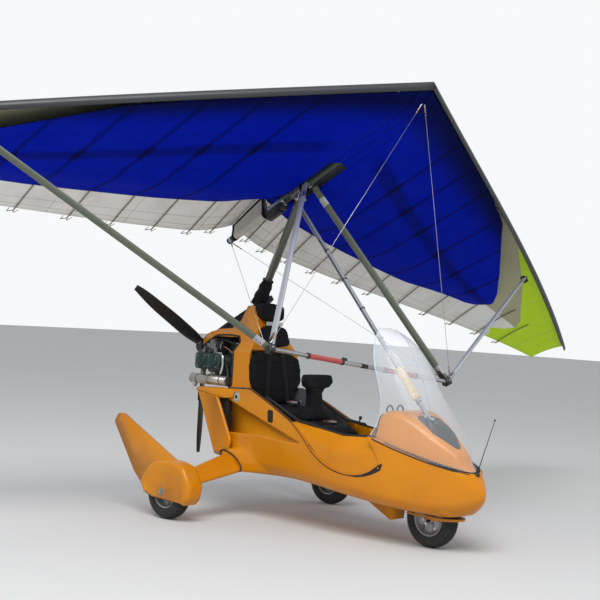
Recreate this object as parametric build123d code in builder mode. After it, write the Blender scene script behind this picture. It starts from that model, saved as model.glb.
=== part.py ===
from build123d import *
import os
from math import sqrt

os.makedirs("parts", exist_ok=True)

# Two-seat weight-shift microlight, parked. Millimetres. x runs forward, y to port, z up.
# Zero is on the ground, under the middle of the rear axle line.

# Running gear
wheel_base = 1720
track_half = 868
tyre_radius = 197
tyre_width = 112
tyre_shoulder = 34
rim_radius = 118
rim_wall = 5
hub_radius = 27
axle_radius = 12
axle_play = 0.08
wheel_gap = 8

# Front fork and steering
steer_trail = 20
fork_blade = 16
fork_depth = 46
stem_radius = 22
stem_top = 610
crown_thick = 22
pedal_bar_radius = 13
pedal_bar_half = 185
pedal_bar_z = 520
lip_wall = 14
lip_height = 30

# Body shell
wall = 12
hull_corner = 105
well_half = 158
well_radius = 262
well_rise = 46
hull_stations = [
    # x, half width, underside z, top z before the sill cut
    (-70, 272, 462, 1180),
    (60, 284, 392, 1180),
    (220, 298, 346, 1180),
    (600, 326, 336, 1150),
    (1050, 342, 304, 1080),
    (1500, 316, 262, 980),
    (1800, 246, 243, 800),
    (1985, 152, 250, 640),
    (2090, 74, 312, 505),
    (2127, 28, 362, 440),
]
sill_line = [(-200, 940), (182, 955), (403, 870), (661, 755), (1376, 727), (1584, 667), (1828, 600), (2300, 480)]
recess_line = [(661, 755), (769, 675), (917, 547), (1105, 454), (1318, 446), (1516, 522), (1376, 727)]
scoop_line = [(-120, 868), (760, 610), (560, 604), (342, 622), (206, 616), (-120, 606)]
scoop_wall_y = (240, 331)
scoop_tip = 760
seam_gap = 1.5
recess_round = 60
recess_walls = [
    # x, top edge y, top edge z, bottom edge z
    (655, 248, 756, 742),
    (769, 248, 740, 672),
    (917, 248, 722, 545),
    (1105, 248, 699, 452),
    (1318, 248, 712, 440),
    (1400, 248, 714, 452),
    (1540, 320, 700, 500),
]

# Screen, dash and front strut
screen_thick = 5
screen_sections = [
    # z, apex x, edge x, half width
    (540, 2056, 1250, 345),
    (730, 1932, 1385, 314),
    (900, 1802, 1432, 272),
    (1110, 1634, 1372, 248),
    (1250, 1545, 1310, 228),
    (1371, 1421, 1270, 180),
    (1465, 1212, 1196, 60),
]
dash_sections = [
    # x, half width at the seam, half width at the top, top z
    (1380, 312, 205, 872),
    (1470, 302, 215, 908),
    (1640, 266, 185, 862),
    (1850, 180, 112, 730),
    (2040, 52, 28, 564),
]
panel_thick = 18
strut_radius = 17
pad_radius = 33
pad_span = (1180, 1000)
strut_foot_x = 1654
strut_foot_z = 852

# Seats
rear_seat_half = 236
front_seat_half = 170
front_back_waist = (76, 800, 1000)
front_back_head = 130
cushion_thick = 95
back_thick = 62
seat_frame_half = 150
headrest_half = 118

# Rear pylon outlines
pylon_side = [(-66, 900), (152, 900), (114, 1230), (60, 1400), (-8, 1572), (-128, 1572), (-150, 1455), (-212, 1392),
              (-350, 1376), (-500, 1330), (-552, 1292), (-556, 1238), (-330, 1322), (-92, 1326), (-66, 1290)]
pylon_rear = [(262, 860), (262, 1215), (196, 1290), (140, 1388), (110, 1455), (64, 1580)]
pylon_plan = [(-580, 116), (-100, 262), (200, 262)]
pylon_wall_x = -58

# Mast and hang point
hang_x = 295
hang_z = 2399
mast_lean = 0.4603
mast_radius = 29
mast_foot_z = 1560
mast_cover_top = 1755
hang_bolt_radius = 8

# Engine group
crank_x = -345
crank_z = 1125
bore_radius = 62
cylinder_out = 262
cylinder_pitch = 132
case_half = 112
muffler_radius = 37
engine_front_x = -140
engine_back_x = -498
prop_x = -675
prop_z = 1231
prop_radius = 858
prop_hub_radius = 62
blade_sections = [
    # distance from the hub's middle, chord, thickness, twist
    (50, 58, 40, 40),
    (180, 92, 22, 34),
    (430, 96, 14, 24),
    (700, 78, 9, 17),
    (858, 44, 5, 14),
]

# Radiator ducts
duct_in = 268
duct_out = 322

# Wheel spats and legs
spat_wall = 12
spat_top = 424
fin_thick = 26
leg_root = (64, 338, 404)
leg_tip = (112, 786, 300)
leg_chord = 236
leg_depth = 74
leg_slope = (26, 38)
flare_in = 250
flare_mid = (290, 436)
flare_half = (336, 94)
flare_slope = 6
flare_rim = 10
spat_round = 34

# Wing, in its own frame: x forward along the keel, y to port, z up, zero on the keel above the hang bolt
wing_yaw = -3.03
wing_pitch = -26.37
wing_roll = -7.27
keel_above_bolt = 68
keel_radius = 25
keel_front = 1380
keel_back = -860
tube_nose_radius = 34
bar_corner = (325, 839, -1587)
downtube_top = (134, 46, -30)
wing_strut_top = (-89, 2712, -165)
bar_radius = 14.5
grip_radius = 19
downtube_long = 60
downtube_wide = 27
wire_radius = 1.6
skin = 9
pocket_thick = 12
span_half = 4384
camber = 0.078
nose_share = 0.066
crest_at = 0.30
root_lift = 85
root_lift_span = 450
slope_share = 0.20
rib_table = [
    # out from the keel, share of the chord without a lower skin, lower skin's depth behind and in front
    (0, 0.177, 128, 86),
    (200, 0.175, 86, 70),
    (450, 0.172, 44, 44),
    (900, 0.168, 13, 33),
    (1800, 0.120, 13, 33),
    (2700, 0.075, 13, 33),
    (3500, 0.050, 13, 33),
    (4100, 0.050, 13, 33),
    (4384, 0.050, 13, 30),
]
hang_opening = (-430, 500, 82)


def cubic(t, factors):
    """A curve along the span, with t in metres from the keel and the result in millimetres."""
    a, b, c, d = factors
    return 1000 * (a + b * t + c * t * t + d * t**3)


leading_x = (1.4849, -0.5418, 0.0147, -0.0043)
leading_z = (0.0746, -0.0366, -0.0068, 0.0006)
trailing_x = (-0.7909, -0.2600, 0.0592, -0.0072)
trailing_z = (0.0306, -0.0138, 0.0033, -0.0018)


def rod(start, end, radius, tip=None, mode=Mode.ADD):
    """A round bar between two points; tip gives it a second radius at its far end."""
    start, end = Vector(*start), Vector(*end)
    with BuildSketch(Plane(origin=start, z_dir=end - start)) as near:
        Circle(radius)
    if tip is None:
        return extrude(near.sketch, amount=(end - start).length, mode=mode)
    with BuildSketch(Plane(origin=end, z_dir=end - start)) as far:
        Circle(tip)
    return loft([near.sketch, far.sketch], mode=mode)


def mast_point(z):
    """The mast's centre line at height z."""
    return (hang_x - mast_lean * (hang_z - z), 0, z)


pieces = {}

# Wheels: each tyre and rim is turned about its own axle line
wheel_places = {
    "front": (wheel_base, 0),
    "rear_port": (0, track_half),
    "rear_starboard": (0, -track_half),
}
for place, (x, y) in wheel_places.items():
    axle = Plane(origin=(x, y, tyre_radius), x_dir=(1, 0, 0), z_dir=(0, -1, 0))
    with BuildPart() as tyre:
        with BuildSketch(Plane(origin=(x, y, tyre_radius), x_dir=(0, 1, 0), z_dir=(1, 0, 0))) as section:
            with Locations((0, (rim_radius + tyre_radius) / 2)):
                Rectangle(tyre_width, tyre_radius - rim_radius)
            fillet(section.vertices().group_by(Axis.Y)[-1], tyre_shoulder)
            fillet(section.vertices().group_by(Axis.Y)[0], 10)
        revolve(axis=Axis((x, y, tyre_radius), (0, 1, 0)))
    pieces["tyre_" + place] = tyre
    rim_half = tyre_width / 2 - 10
    with BuildPart() as rim:
        with BuildSketch(axle.offset(-rim_half)):
            Circle(rim_radius)
        extrude(amount=2 * rim_half)
        for face_at in (-rim_half, rim_half):
            with BuildSketch(axle.offset(face_at)):
                Circle(rim_radius - rim_wall)
                Circle(hub_radius, mode=Mode.SUBTRACT)
            inward = (rim_half - 7) * (1 if face_at < 0 else -1)
            extrude(amount=inward, mode=Mode.SUBTRACT)
        with BuildSketch(axle.offset(-rim_half)):
            Circle(axle_radius + axle_play)
        extrude(amount=2 * rim_half, mode=Mode.SUBTRACT)
        with BuildSketch(axle.offset(-rim_half)):
            with PolarLocations((rim_radius + hub_radius) / 2, 5):
                Circle(15)
        extrude(amount=2 * rim_half, mode=Mode.SUBTRACT)
    pieces["rim_" + place] = rim

# Front fork: axle, two blades, crown, stem and the foot bar that steers it
blade_in = tyre_width / 2 + wheel_gap
blade_out = blade_in + fork_blade
crown_z = 2 * tyre_radius + 16
steer_x = wheel_base + steer_trail
with BuildPart() as fork:
    rod((wheel_base, -blade_out, tyre_radius), (wheel_base, blade_out, tyre_radius), axle_radius)
    for sign in (-1, 1):
        with BuildSketch(Plane.XZ.offset(-sign * (blade_in + fork_blade / 2))) as side:
            with BuildLine():
                Polyline(
                    (wheel_base - 22, tyre_radius - 20),
                    (wheel_base + 22, tyre_radius - 20),
                    (steer_x + fork_depth / 2, crown_z),
                    (steer_x - fork_depth / 2, crown_z),
                    close=True,
                )
            make_face()
        extrude(amount=fork_blade / 2, both=True)
    with BuildSketch(Plane.XY.offset(crown_z)):
        with Locations((steer_x, 0)):
            Rectangle(fork_depth + 8, 2 * blade_out)
    extrude(amount=crown_thick)
    rod((steer_x, 0, crown_z + crown_thick), (steer_x, 0, stem_top), stem_radius)
    rod((steer_x, -pedal_bar_half, pedal_bar_z), (steer_x, pedal_bar_half, pedal_bar_z), pedal_bar_radius)
pieces["front_fork"] = fork

# Front mudguard: a lip that runs round the front of the tyre, carried by the fork blades
lip_top = 226
with BuildPart() as mudguard:
    with BuildSketch(Plane.XY.offset(lip_top - lip_height)) as plan:
        with BuildLine():
            outer = blade_out + lip_wall
            Polyline((steer_x + 30, outer), (wheel_base - 150, outer - 6), (wheel_base - 165, blade_out))
            Line((wheel_base - 165, blade_out), (steer_x + 30, blade_out))
            ThreePointArc((steer_x + 30, outer), (1958, 52), (1982, 0))
            ThreePointArc((steer_x + 30, blade_out), (1935, 42), (1952, 0))
            Line((1952, 0), (1982, 0))
        make_face()
        mirror(about=Plane.XZ)
    extrude(amount=lip_height)
    with BuildSketch(Plane.XZ) as sweep_up:
        with BuildLine():
            Polyline((1500, 150), (1500, 222), (1640, 208), (1800, 200), (2030, 216), (2030, 150), close=True)
        make_face()
    extrude(amount=200, both=True, mode=Mode.SUBTRACT)
pieces["front_mudguard"] = mudguard

# Hull tub: a hollow loft, open above the sill line, with the leg recesses and the wheel well cut out


def hull_loft(inset):
    """The hull's whole form, pulled in by inset on every side."""
    sections = []
    for x, half, under, top in hull_stations:
        shrink = min(inset, half * 0.5)
        place = Plane(origin=(x, 0, (under + top) / 2), x_dir=(0, 1, 0), z_dir=(1, 0, 0))
        with BuildSketch(place) as section:
            width, height = 2 * (half - shrink), top - under - 2 * shrink
            corner = min(hull_corner - shrink, 0.45 * min(width, height))
            RectangleRounded(width, height, corner)
        sections.append(section.sketch)
    return loft(sections, mode=Mode.PRIVATE)


def side_prism(points, reach, mode=Mode.SUBTRACT, low_y=None):
    """A side outline in x and z, drawn through the body from one side to the other."""
    with BuildSketch(Plane.XZ) as outline:
        with BuildLine():
            Polyline(*points, close=True)
        make_face()
    return extrude(outline.sketch, amount=reach, both=True, mode=mode)



def scoop_form(sign, inset, rim):
    """The flank's inset on the way to the duct: from inset inside its floor outwards, its outline grown by rim."""
    rear_x = hull_stations[0][0]
    with BuildPart(mode=Mode.PRIVATE) as form:
        with BuildSketch(Plane.XY.offset(500)):
            with BuildLine():
                Polyline(
                    (rear_x, sign * (scoop_wall_y[0] - inset)), (scoop_tip, sign * (scoop_wall_y[1] - inset)),
                    (scoop_tip + rim, sign * 400), (rear_x, sign * 400), close=True,
                )
            make_face()
        extrude(amount=460)
        with BuildSketch(Plane.XZ) as outline:
            with BuildLine():
                Polyline(*scoop_line, close=True)
            make_face()
            if rim:
                offset(amount=rim)
        extrude(amount=420, both=True, mode=Mode.INTERSECT)
    return form.part


well_top = crown_z + crown_thick + 14
above_sill = sill_line + [(2300, 1400), (-200, 1400)]
with BuildPart() as hull_core:
    add(hull_loft(wall))
# Flares on the flanks that the rear legs grow out of
with BuildPart() as flares:
    for sign in (-1, 1):
        with BuildSketch(Plane.XZ.offset(-sign * flare_in)) as flare_root:
            with Locations(Location((flare_mid[0], flare_mid[1]), -flare_slope)):
                Ellipse(flare_half[0], flare_half[1])
        with BuildSketch(Plane.XZ.offset(-sign * leg_root[1])) as flare_end:
            with Locations(Location((leg_root[0], leg_root[2]), -leg_slope[0])):
                Ellipse(leg_chord / 2 + flare_rim, leg_depth / 2 + flare_rim)
        loft([flare_root.sketch, flare_end.sketch])
    add(hull_core.part, mode=Mode.SUBTRACT)
# Inset floors that lead the air to the radiator ducts, one on each flank
with BuildPart() as scoop_floors:
    for sign in (-1, 1):
        add(scoop_form(sign, wall, wall))
    add(hull_loft(0), mode=Mode.INTERSECT)
with BuildPart() as hull:
    add(hull_loft(0))
    add(hull_core.part, mode=Mode.SUBTRACT)
    add(scoop_floors.part)
    for sign in (-1, 1):
        add(scoop_form(sign, 0, 0), mode=Mode.SUBTRACT)
    side_prism(above_sill, 500)
    # Leg recess, through the outer skin only
    for sign in (-1, 1):
        with BuildSketch(Plane.XZ.offset(-sign * 235)) as recess:
            with BuildLine():
                Polyline(*recess_line, close=True)
            make_face()
            fillet(recess.vertices().sort_by(Axis.Y)[:4], recess_round)
        extrude(amount=-sign * 200, mode=Mode.SUBTRACT)
    add(flares.part)
    # Wheel well: a box open below, with a hole for the steering stem
    well_x = steer_x - 26
    with BuildSketch(Plane.XY.offset(248)) as well_outer:
        with Locations((well_x, 0)):
            RectangleRounded(2 * well_radius - 20, 2 * well_half + 16, 60)
    extrude(amount=well_top + 8 - 248)
    with BuildSketch(Plane.XY.offset(150)) as well_inner:
        with Locations((well_x, 0)):
            RectangleRounded(2 * well_radius - 36, 2 * well_half, 52)
    extrude(amount=well_top - 150, mode=Mode.SUBTRACT)
    with BuildSketch(Plane.XY.offset(well_top - 5)) as stem_hole:
        with Locations((steer_x, 0)):
            Circle(stem_radius + 1)
    extrude(amount=30, mode=Mode.SUBTRACT)
    # Skirt behind the front wheel
    with BuildSketch(Plane.XZ) as skirt:
        with BuildLine():
            Polyline((1090, 320), (1090, 292), (1395, 142), (1428, 150), (1450, 290), (1450, 320), close=True)
        make_face()
    extrude(amount=55, both=True)
pieces["hull_tub"] = hull

# Leg recess panels: slanted walls that close the cut-outs inside the skin
for place, sign in (("port", 1), ("starboard", -1)):
    with BuildPart() as recess_panel:
        for x, top_y, upper, lower in recess_walls:
            with BuildSketch(Plane(origin=(x, 0, 0), x_dir=(0, sign, 0), z_dir=(sign, 0, 0))) as section:
                with BuildLine():
                    Polyline(
                        (top_y, upper),
                        (top_y + wall, upper),
                        (420, lower),
                        (420, lower - wall),
                        (top_y + 30, lower - wall),
                        close=True,
                    )
                make_face()
        loft(ruled=True)
        add(hull_core.part, mode=Mode.INTERSECT)
    pieces["recess_panel_" + place] = recess_panel

# Dash fairing: a hollow hood over the nose, inside the screen


def dash_form(inset):
    """The dash fairing's form, pulled in by inset."""
    sections = []
    for x, low_half, top_half, top in dash_sections:
        low = 500
        with BuildSketch(Plane(origin=(x, 0, 0), x_dir=(0, 1, 0), z_dir=(1, 0, 0))) as section:
            with BuildLine():
                Polyline(
                    (-low_half + inset, low),
                    (-top_half + inset, top - inset),
                    (top_half - inset, top - inset),
                    (low_half - inset, low),
                    close=True,
                )
            make_face()
            fillet(section.vertices().group_by(Axis.Y)[-1], min(60, 0.45 * top_half))
        sections.append(section.sketch)
    return loft(sections, mode=Mode.PRIVATE)


def screen_form(inset, behind=0):
    """The screen's outer form as stacked half ellipses, pulled in by inset and carried on straight behind."""
    sections = []
    for z, apex, edge, half in screen_sections:
        with BuildSketch(Plane.XY.offset(z)) as section:
            with BuildLine():
                depth = max(apex - edge - inset, 0.4 * (apex - edge))
                EllipticalCenterArc((edge, 0), depth, half - inset, start_angle=-90, arc_size=180)
                if behind:
                    Line((edge, half - inset), (edge - behind, half - inset))
                    Line((edge - behind, -half + inset), (edge, -half + inset))
                Line((edge - behind, half - inset), (edge - behind, -half + inset))
            make_face()
        sections.append(section.sketch)
    return loft(sections, mode=Mode.PRIVATE)


below_seam = [(x, z + seam_gap) for x, z in sill_line] + [(2300, 100), (-200, 100)]
with BuildPart() as dash_core:
    add(dash_form(wall))
    side_prism(below_seam, 500)
    add(screen_form(screen_thick + wall, 300), mode=Mode.INTERSECT)
with BuildPart() as dash:
    add(dash_form(0))
    side_prism(below_seam, 500)
    add(screen_form(screen_thick + 0.5, 300), mode=Mode.INTERSECT)
    add(dash_core.part, mode=Mode.SUBTRACT)
pieces["dash_fairing"] = dash

with BuildPart() as panel:
    with BuildSketch(Plane.YZ.offset(dash_sections[0][0] + 8)):
        with Locations((0, 800)):
            Rectangle(700, 400)
    extrude(amount=panel_thick)
    add(dash_core.part, mode=Mode.INTERSECT)
pieces["instrument_panel"] = panel

# Windscreen: one wrapped sheet from the seam to above eye height
with BuildPart() as screen:
    add(screen_form(0))
    add(screen_form(screen_thick), mode=Mode.SUBTRACT)
    side_prism(below_seam, 500)
pieces["windscreen"] = screen

# Front strut: from the mast top down through the cockpit to a foot on the dash fairing
strut_head = Vector(*mast_point(hang_z - 38))
strut_foot = Vector(strut_foot_x, 0, strut_foot_z)
with BuildPart() as strut:
    rod(strut_head, strut_foot, strut_radius)
    rod(strut_foot + Vector(0, 0, 22), strut_foot - Vector(0, 0, 60), 30)
    add(dash.part, mode=Mode.SUBTRACT)
    add(dash_core.part, mode=Mode.SUBTRACT)
    rod(mast_point(hang_z - 160), mast_point(hang_z), mast_radius, mode=Mode.SUBTRACT)
pieces["front_strut"] = strut


def on_strut(z):
    """The strut's centre line at height z."""
    part_way = (strut_head.Z - z) / (strut_head.Z - strut_foot.Z)
    return strut_head + (strut_foot - strut_head) * part_way


with BuildPart() as pad:
    rod(on_strut(pad_span[0]), on_strut(pad_span[1]), pad_radius)
    fillet(pad.edges().filter_by(GeomType.CIRCLE), 10)
    rod(on_strut(pad_span[0] + 40), on_strut(pad_span[1] - 40), strut_radius, mode=Mode.SUBTRACT)
pieces["strut_pad"] = pad

# Seats: two in line, each a cushion and a back
with BuildPart() as seat_frame:
    with BuildSketch(Plane.XZ) as pedestal:
        with BuildLine():
            Polyline((70, 380), (70, 690), (130, 745), (500, 700), (520, 655), (880, 640), (880, 380), close=True)
        make_face()
    extrude(amount=seat_frame_half, both=True)
    side_prism([(80, 200), (80, 682), (132, 734), (494, 690), (514, 645), (870, 631), (870, 200)], seat_frame_half - 9)
    add(hull_core.part, mode=Mode.INTERSECT)
pieces["seat_frame"] = seat_frame

with BuildPart() as rear_seat:
    with BuildSketch(Plane.XZ) as outline:
        with BuildLine():
            Polyline(
                (60, 765), (130, 745), (500, 700), (505, 790), (170, 838), (118, 1238), (52, 1246), (45, 900),
                close=True,
            )
        make_face()
        fillet(outline.vertices().group_by(Axis.Y)[-1], 18)
    extrude(amount=rear_seat_half, both=True)
pieces["rear_seat"] = rear_seat

with BuildPart() as front_seat:
    with BuildSketch(Plane.XZ) as outline:
        with BuildLine():
            Polyline(
                (520, 655), (880, 640), (885, 722), (640, 742), (590, 1060), (560, 1102), (515, 1098), (506, 800),
                close=True,
            )
        make_face()
        fillet(outline.vertices().group_by(Axis.Y)[-2:], 14)
    extrude(amount=front_seat_half, both=True)
    # The back narrows to a waist above the cushion and widens again at its head
    for sign in (-1, 1):
        waist, waist_low, waist_high = front_back_waist
        for inner, low, high in ((waist, waist_low, waist_high), (front_back_head, waist_high - 1, 1200)):
            with BuildSketch(Plane.XZ.offset(-sign * inner)) as side_cut:
                with Locations((600, (low + high) / 2)):
                    Rectangle(300, high - low)
            extrude(side_cut.sketch, amount=-sign * 200, mode=Mode.SUBTRACT)
pieces["front_seat"] = front_seat

# Rear pylon: the cowl that stands behind the rear seat, carries the mast and roofs the engine
with BuildPart() as pylon:
    with BuildSketch(Plane.XZ) as side_view:
        with BuildLine():
            Polyline(*pylon_side, close=True)
        make_face()
    extrude(amount=300, both=True)
    with BuildSketch(Plane.YZ.offset(-700)) as rear_view:
        with BuildLine():
            Polyline(*[(-y, z) for y, z in pylon_rear], *reversed(pylon_rear), close=True)
        make_face()
        fillet(rear_view.vertices().group_by(Axis.Y)[-1], 24)
    extrude(amount=1000, mode=Mode.INTERSECT)
    with BuildSketch(Plane.XY.offset(900)) as plan_view:
        with BuildLine():
            Polyline(*[(x, -y) for x, y in pylon_plan], *reversed(pylon_plan), close=True)
        make_face()
    extrude(amount=800, mode=Mode.INTERSECT)
    # Hollow under the hood, open at the sides and to the engine
    with BuildSketch(Plane.YZ.offset(pylon_wall_x)) as under_front:
        with BuildLine():
            Polyline((-165, 1285), (-95, 1385), (95, 1385), (165, 1285), (165, 1150), (-165, 1150), close=True)
        make_face()
    with BuildSketch(Plane.YZ.offset(-600)) as under_back:
        with BuildLine():
            Polyline((-84, 1200), (-56, 1270), (56, 1270), (84, 1200), (84, 1050), (-84, 1050), close=True)
        make_face()
    loft(mode=Mode.SUBTRACT)
    add(rear_seat.part, mode=Mode.SUBTRACT)
    side_prism(below_seam, 500)
pieces["rear_pylon"] = pylon

with BuildPart() as headrest:
    with BuildSketch(Plane.XZ) as outline:
        with BuildLine():
            Polyline((-40, 1500), (60, 1512), (150, 1488), (190, 1320), (165, 1262), (60, 1262), close=True)
        make_face()
    extrude(amount=headrest_half, both=True)
    add(pylon.part, mode=Mode.SUBTRACT)
pieces["headrest"] = headrest

# Mast, its cover and the hang block
hinge = Plane(Location((hang_x, 0, hang_z), (0, 0, wing_yaw)))
block_at = hinge.location * Location((0, 0, 0), (0, wing_pitch, 0))


def block_plane(x, y, z, turn):
    """A plane fixed to the hang block, offset from the bolt and turned about the block's own axes."""
    return Plane(block_at * Location((x, y, z), turn))


with BuildPart() as mast:
    rod(mast_point(mast_foot_z), mast_point(hang_z), mast_radius)
    with Locations((hang_x, 0, hang_z)):
        Sphere(mast_radius)
    with BuildSketch(Plane(hinge.location * Location((0, 0, 0), (90, 0, 0)))) as bolt_bore:
        Circle(hang_bolt_radius + axle_play)
    extrude(amount=100, both=True, mode=Mode.SUBTRACT)
    add(pylon.part, mode=Mode.SUBTRACT)
pieces["mast"] = mast

with BuildPart() as mast_cover:
    rod(mast_point(mast_foot_z + 6), mast_point(mast_cover_top), 62, tip=42)
    rod(mast_point(mast_foot_z - 20), mast_point(mast_cover_top + 20), mast_radius, mode=Mode.SUBTRACT)
    add(pylon.part, mode=Mode.SUBTRACT)
pieces["mast_cover"] = mast_cover

cheek_in = mast_radius + 2.5
cheek_out = cheek_in + 7
with BuildPart() as block:
    for middle in (cheek_in + 3.5, -cheek_in - 3.5):
        with BuildSketch(block_plane(0, middle, 0, (90, 0, 0))):
            with BuildLine():
                Polyline((-48, 68), (-48, 40), (-17, -4), (17, -4), (48, 40), (48, 68), close=True)
            make_face()
            Circle(18)
        extrude(amount=3.5, both=True)
    with BuildSketch(block_plane(-52, 0, keel_above_bolt, (0, 90, 0))):
        Circle(keel_radius + 10)
        with Locations((8, 0)):
            Rectangle(52, 2 * cheek_out)
    extrude(amount=104)
    with BuildSketch(block_plane(-100, 0, keel_above_bolt, (0, 90, 0))):
        Circle(keel_radius + axle_play)
    extrude(amount=200, mode=Mode.SUBTRACT)
    with BuildSketch(block_plane(0, cheek_out + 8, 0, (90, 0, 0))):
        Circle(hang_bolt_radius)
    extrude(amount=2 * (cheek_out + 8))
pieces["hang_block"] = block

# Engine: a flat four with its gearbox behind, cylinders and heads out to each side
with BuildPart() as crankcase:
    with BuildSketch(Plane.YZ.offset(engine_front_x)) as section:
        with Locations((0, crank_z)):
            RectangleRounded(2 * case_half, 190, 30)
    extrude(amount=engine_back_x - engine_front_x)
    with BuildSketch(Plane.YZ.offset(engine_back_x)) as gearbox:
        with Locations((0, crank_z + 28)):
            RectangleRounded(164, 214, 60)
    extrude(amount=-52)
    rod((engine_back_x, 0, prop_z), (prop_x + 46, 0, prop_z), 34)
    rod((prop_x + 46, 0, prop_z), (prop_x - 30, 0, prop_z), 15)
    with BuildSketch(Plane.XY.offset(crank_z + 90)) as airbox:
        with Locations(((engine_front_x + engine_back_x) / 2 + 16, 0)):
            RectangleRounded(210, 200, 30)
    extrude(amount=46)
    with BuildSketch(Plane.YZ.offset(pylon_side[0][0])) as mount_ring:
        with Locations((0, crank_z)):
            RectangleRounded(170, 150, 40)
    extrude(amount=engine_front_x - pylon_side[0][0])
pieces["engine_block"] = crankcase

for place, sign in (("port", 1), ("starboard", -1)):
    with BuildPart() as cylinders:
        for number in (-0.5, 0.5):
            x = crank_x + number * cylinder_pitch + sign * 9
            with BuildSketch(Plane.XZ.offset(-sign * case_half)):
                with Locations((x, crank_z)):
                    Circle(bore_radius - 14)
            extrude(amount=-sign * (cylinder_out - case_half))
            for fin in range(6):
                with BuildSketch(Plane.XZ.offset(-sign * (case_half + 8 + 13 * fin))):
                    with Locations((x, crank_z)):
                        Circle(bore_radius - 2)
                extrude(amount=-sign * 5)
            with BuildSketch(Plane.XZ.offset(-sign * (cylinder_out - 66))):
                with Locations((x, crank_z)):
                    RectangleRounded(2 * bore_radius + 4, 2 * bore_radius, 26)
            extrude(amount=-sign * 66)
            with BuildSketch(Plane.XZ.offset(-sign * cylinder_out)):
                with Locations((x, crank_z)):
                    Circle(34)
            extrude(amount=-sign * 8)
        with BuildSketch(Plane.XZ.offset(-sign * (case_half + 4))):
            with Locations((crank_x + sign * 9, crank_z)):
                Rectangle(cylinder_pitch, 24)
        extrude(amount=-sign * 100)
    pieces["cylinders_" + place] = cylinders

with BuildPart() as exhaust:
    muffler_z = crank_z - 140
    for sign in (-1, 1):
        y = sign * 262
        rod((-505, y, muffler_z), (-105, y, muffler_z), muffler_radius)
        for number in (-0.5, 0.5):
            x = crank_x + number * cylinder_pitch + sign * 9
            rod((x, sign * 224, crank_z - bore_radius), (x, sign * 246, muffler_z), 15)
    rod((-455, -262, muffler_z), (-455, 262, muffler_z), 20)
    for place in ("port", "starboard"):
        add(pieces["cylinders_" + place].part, mode=Mode.SUBTRACT)
pieces["exhaust"] = exhaust

# Radiator core behind the hull, between the duct fairings
with BuildPart() as radiator:
    with BuildSketch(Plane.YZ.offset(-150)):
        with Locations((0, 690)):
            Rectangle(2 * duct_in - 2, 300)
    extrude(amount=150 + hull_stations[0][0])
pieces["radiator"] = radiator

# Rear legs, axle carriers and spats
for place, sign in (("port", 1), ("starboard", -1)):
    root_x, root_y, root_z = leg_root
    tip_x, tip_y, tip_z = leg_tip
    carrier_in = track_half - tyre_width / 2 - wheel_gap
    with BuildPart() as leg:
        with BuildSketch(Plane.XZ.offset(-sign * (root_y - 82))):
            with Locations(Location((root_x, root_z), -leg_slope[0])):
                Ellipse(leg_chord / 2, leg_depth / 2)
        with BuildSketch(Plane.XZ.offset(-sign * tip_y)):
            with Locations(Location((tip_x, tip_z), -leg_slope[1])):
                Ellipse(leg_chord * 0.31, leg_depth * 0.36)
        loft()
        add(hull.part, mode=Mode.SUBTRACT)
        with BuildSketch(Plane.XZ.offset(-sign * (tip_y - 2))):
            with BuildLine():
                Polyline((-26, 172), (26, 172), (150, 275), (120, 330), (80, 330), (-26, 222), close=True)
            make_face()
        extrude(amount=-sign * (carrier_in - tip_y + 1))
        rod((0, sign * (carrier_in - 10), tyre_radius), (0, sign * (track_half + 52), tyre_radius), axle_radius)
    # Only the piece outboard of the hull skin is kept
    outboard = leg.solids().sort_by(Axis.Y)[-1 if sign > 0 else 0]
    with BuildPart() as rear_leg:
        add(outboard)
    pieces["rear_leg_" + place] = rear_leg

    spat_mid = sign * track_half
    spat_half = tyre_width / 2 + wheel_gap + spat_wall
    with BuildPart() as spat:
        with BuildSketch(Plane.XZ.offset(-spat_mid)) as outline:
            with BuildLine():
                Polyline((-262, 236), (-212, 168), (-112, 136), (230, 124), (268, 168), (288, 262), (205, 388))
                Spline((205, 388), (60, spat_top), (-120, 402), (-262, 236), tangents=((-0.7, 0.35), (-0.4, -0.8)))
            make_face()
            fillet(outline.vertices().sort_by(Axis.X)[:2] + outline.vertices().sort_by(Axis.X)[-3:-1], spat_round)
        extrude(amount=spat_half, both=True)
        fillet(spat.faces().filter_by(Axis.Y).edges(), spat_round)
        with BuildSketch(Plane.XZ.offset(-spat_mid)):
            with Locations((0, tyre_radius)):
                Circle(tyre_radius + 15)
            with Locations((0, 60)):
                Rectangle(2 * tyre_radius + 30, 2 * (tyre_radius - 60))
        extrude(amount=spat_half - spat_wall, both=True, mode=Mode.SUBTRACT)
        add(rear_leg.part, mode=Mode.SUBTRACT)
        with BuildSketch(Plane.XZ.offset(-spat_mid)) as fin:
            with BuildLine():
                Polyline(
                    (90, spat_top - 12), (-455, 658), (-560, 706), (-618, 706), (-662, 640), (-400, 300), (-262, 180),
                    (-232, 300), (-130, 385), close=True,
                )
            make_face()
            fillet(fin.vertices().sort_by(Axis.X)[:3], 30)
        extrude(amount=fin_thick / 2, both=True)
    pieces["spat_" + place] = spat

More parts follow.
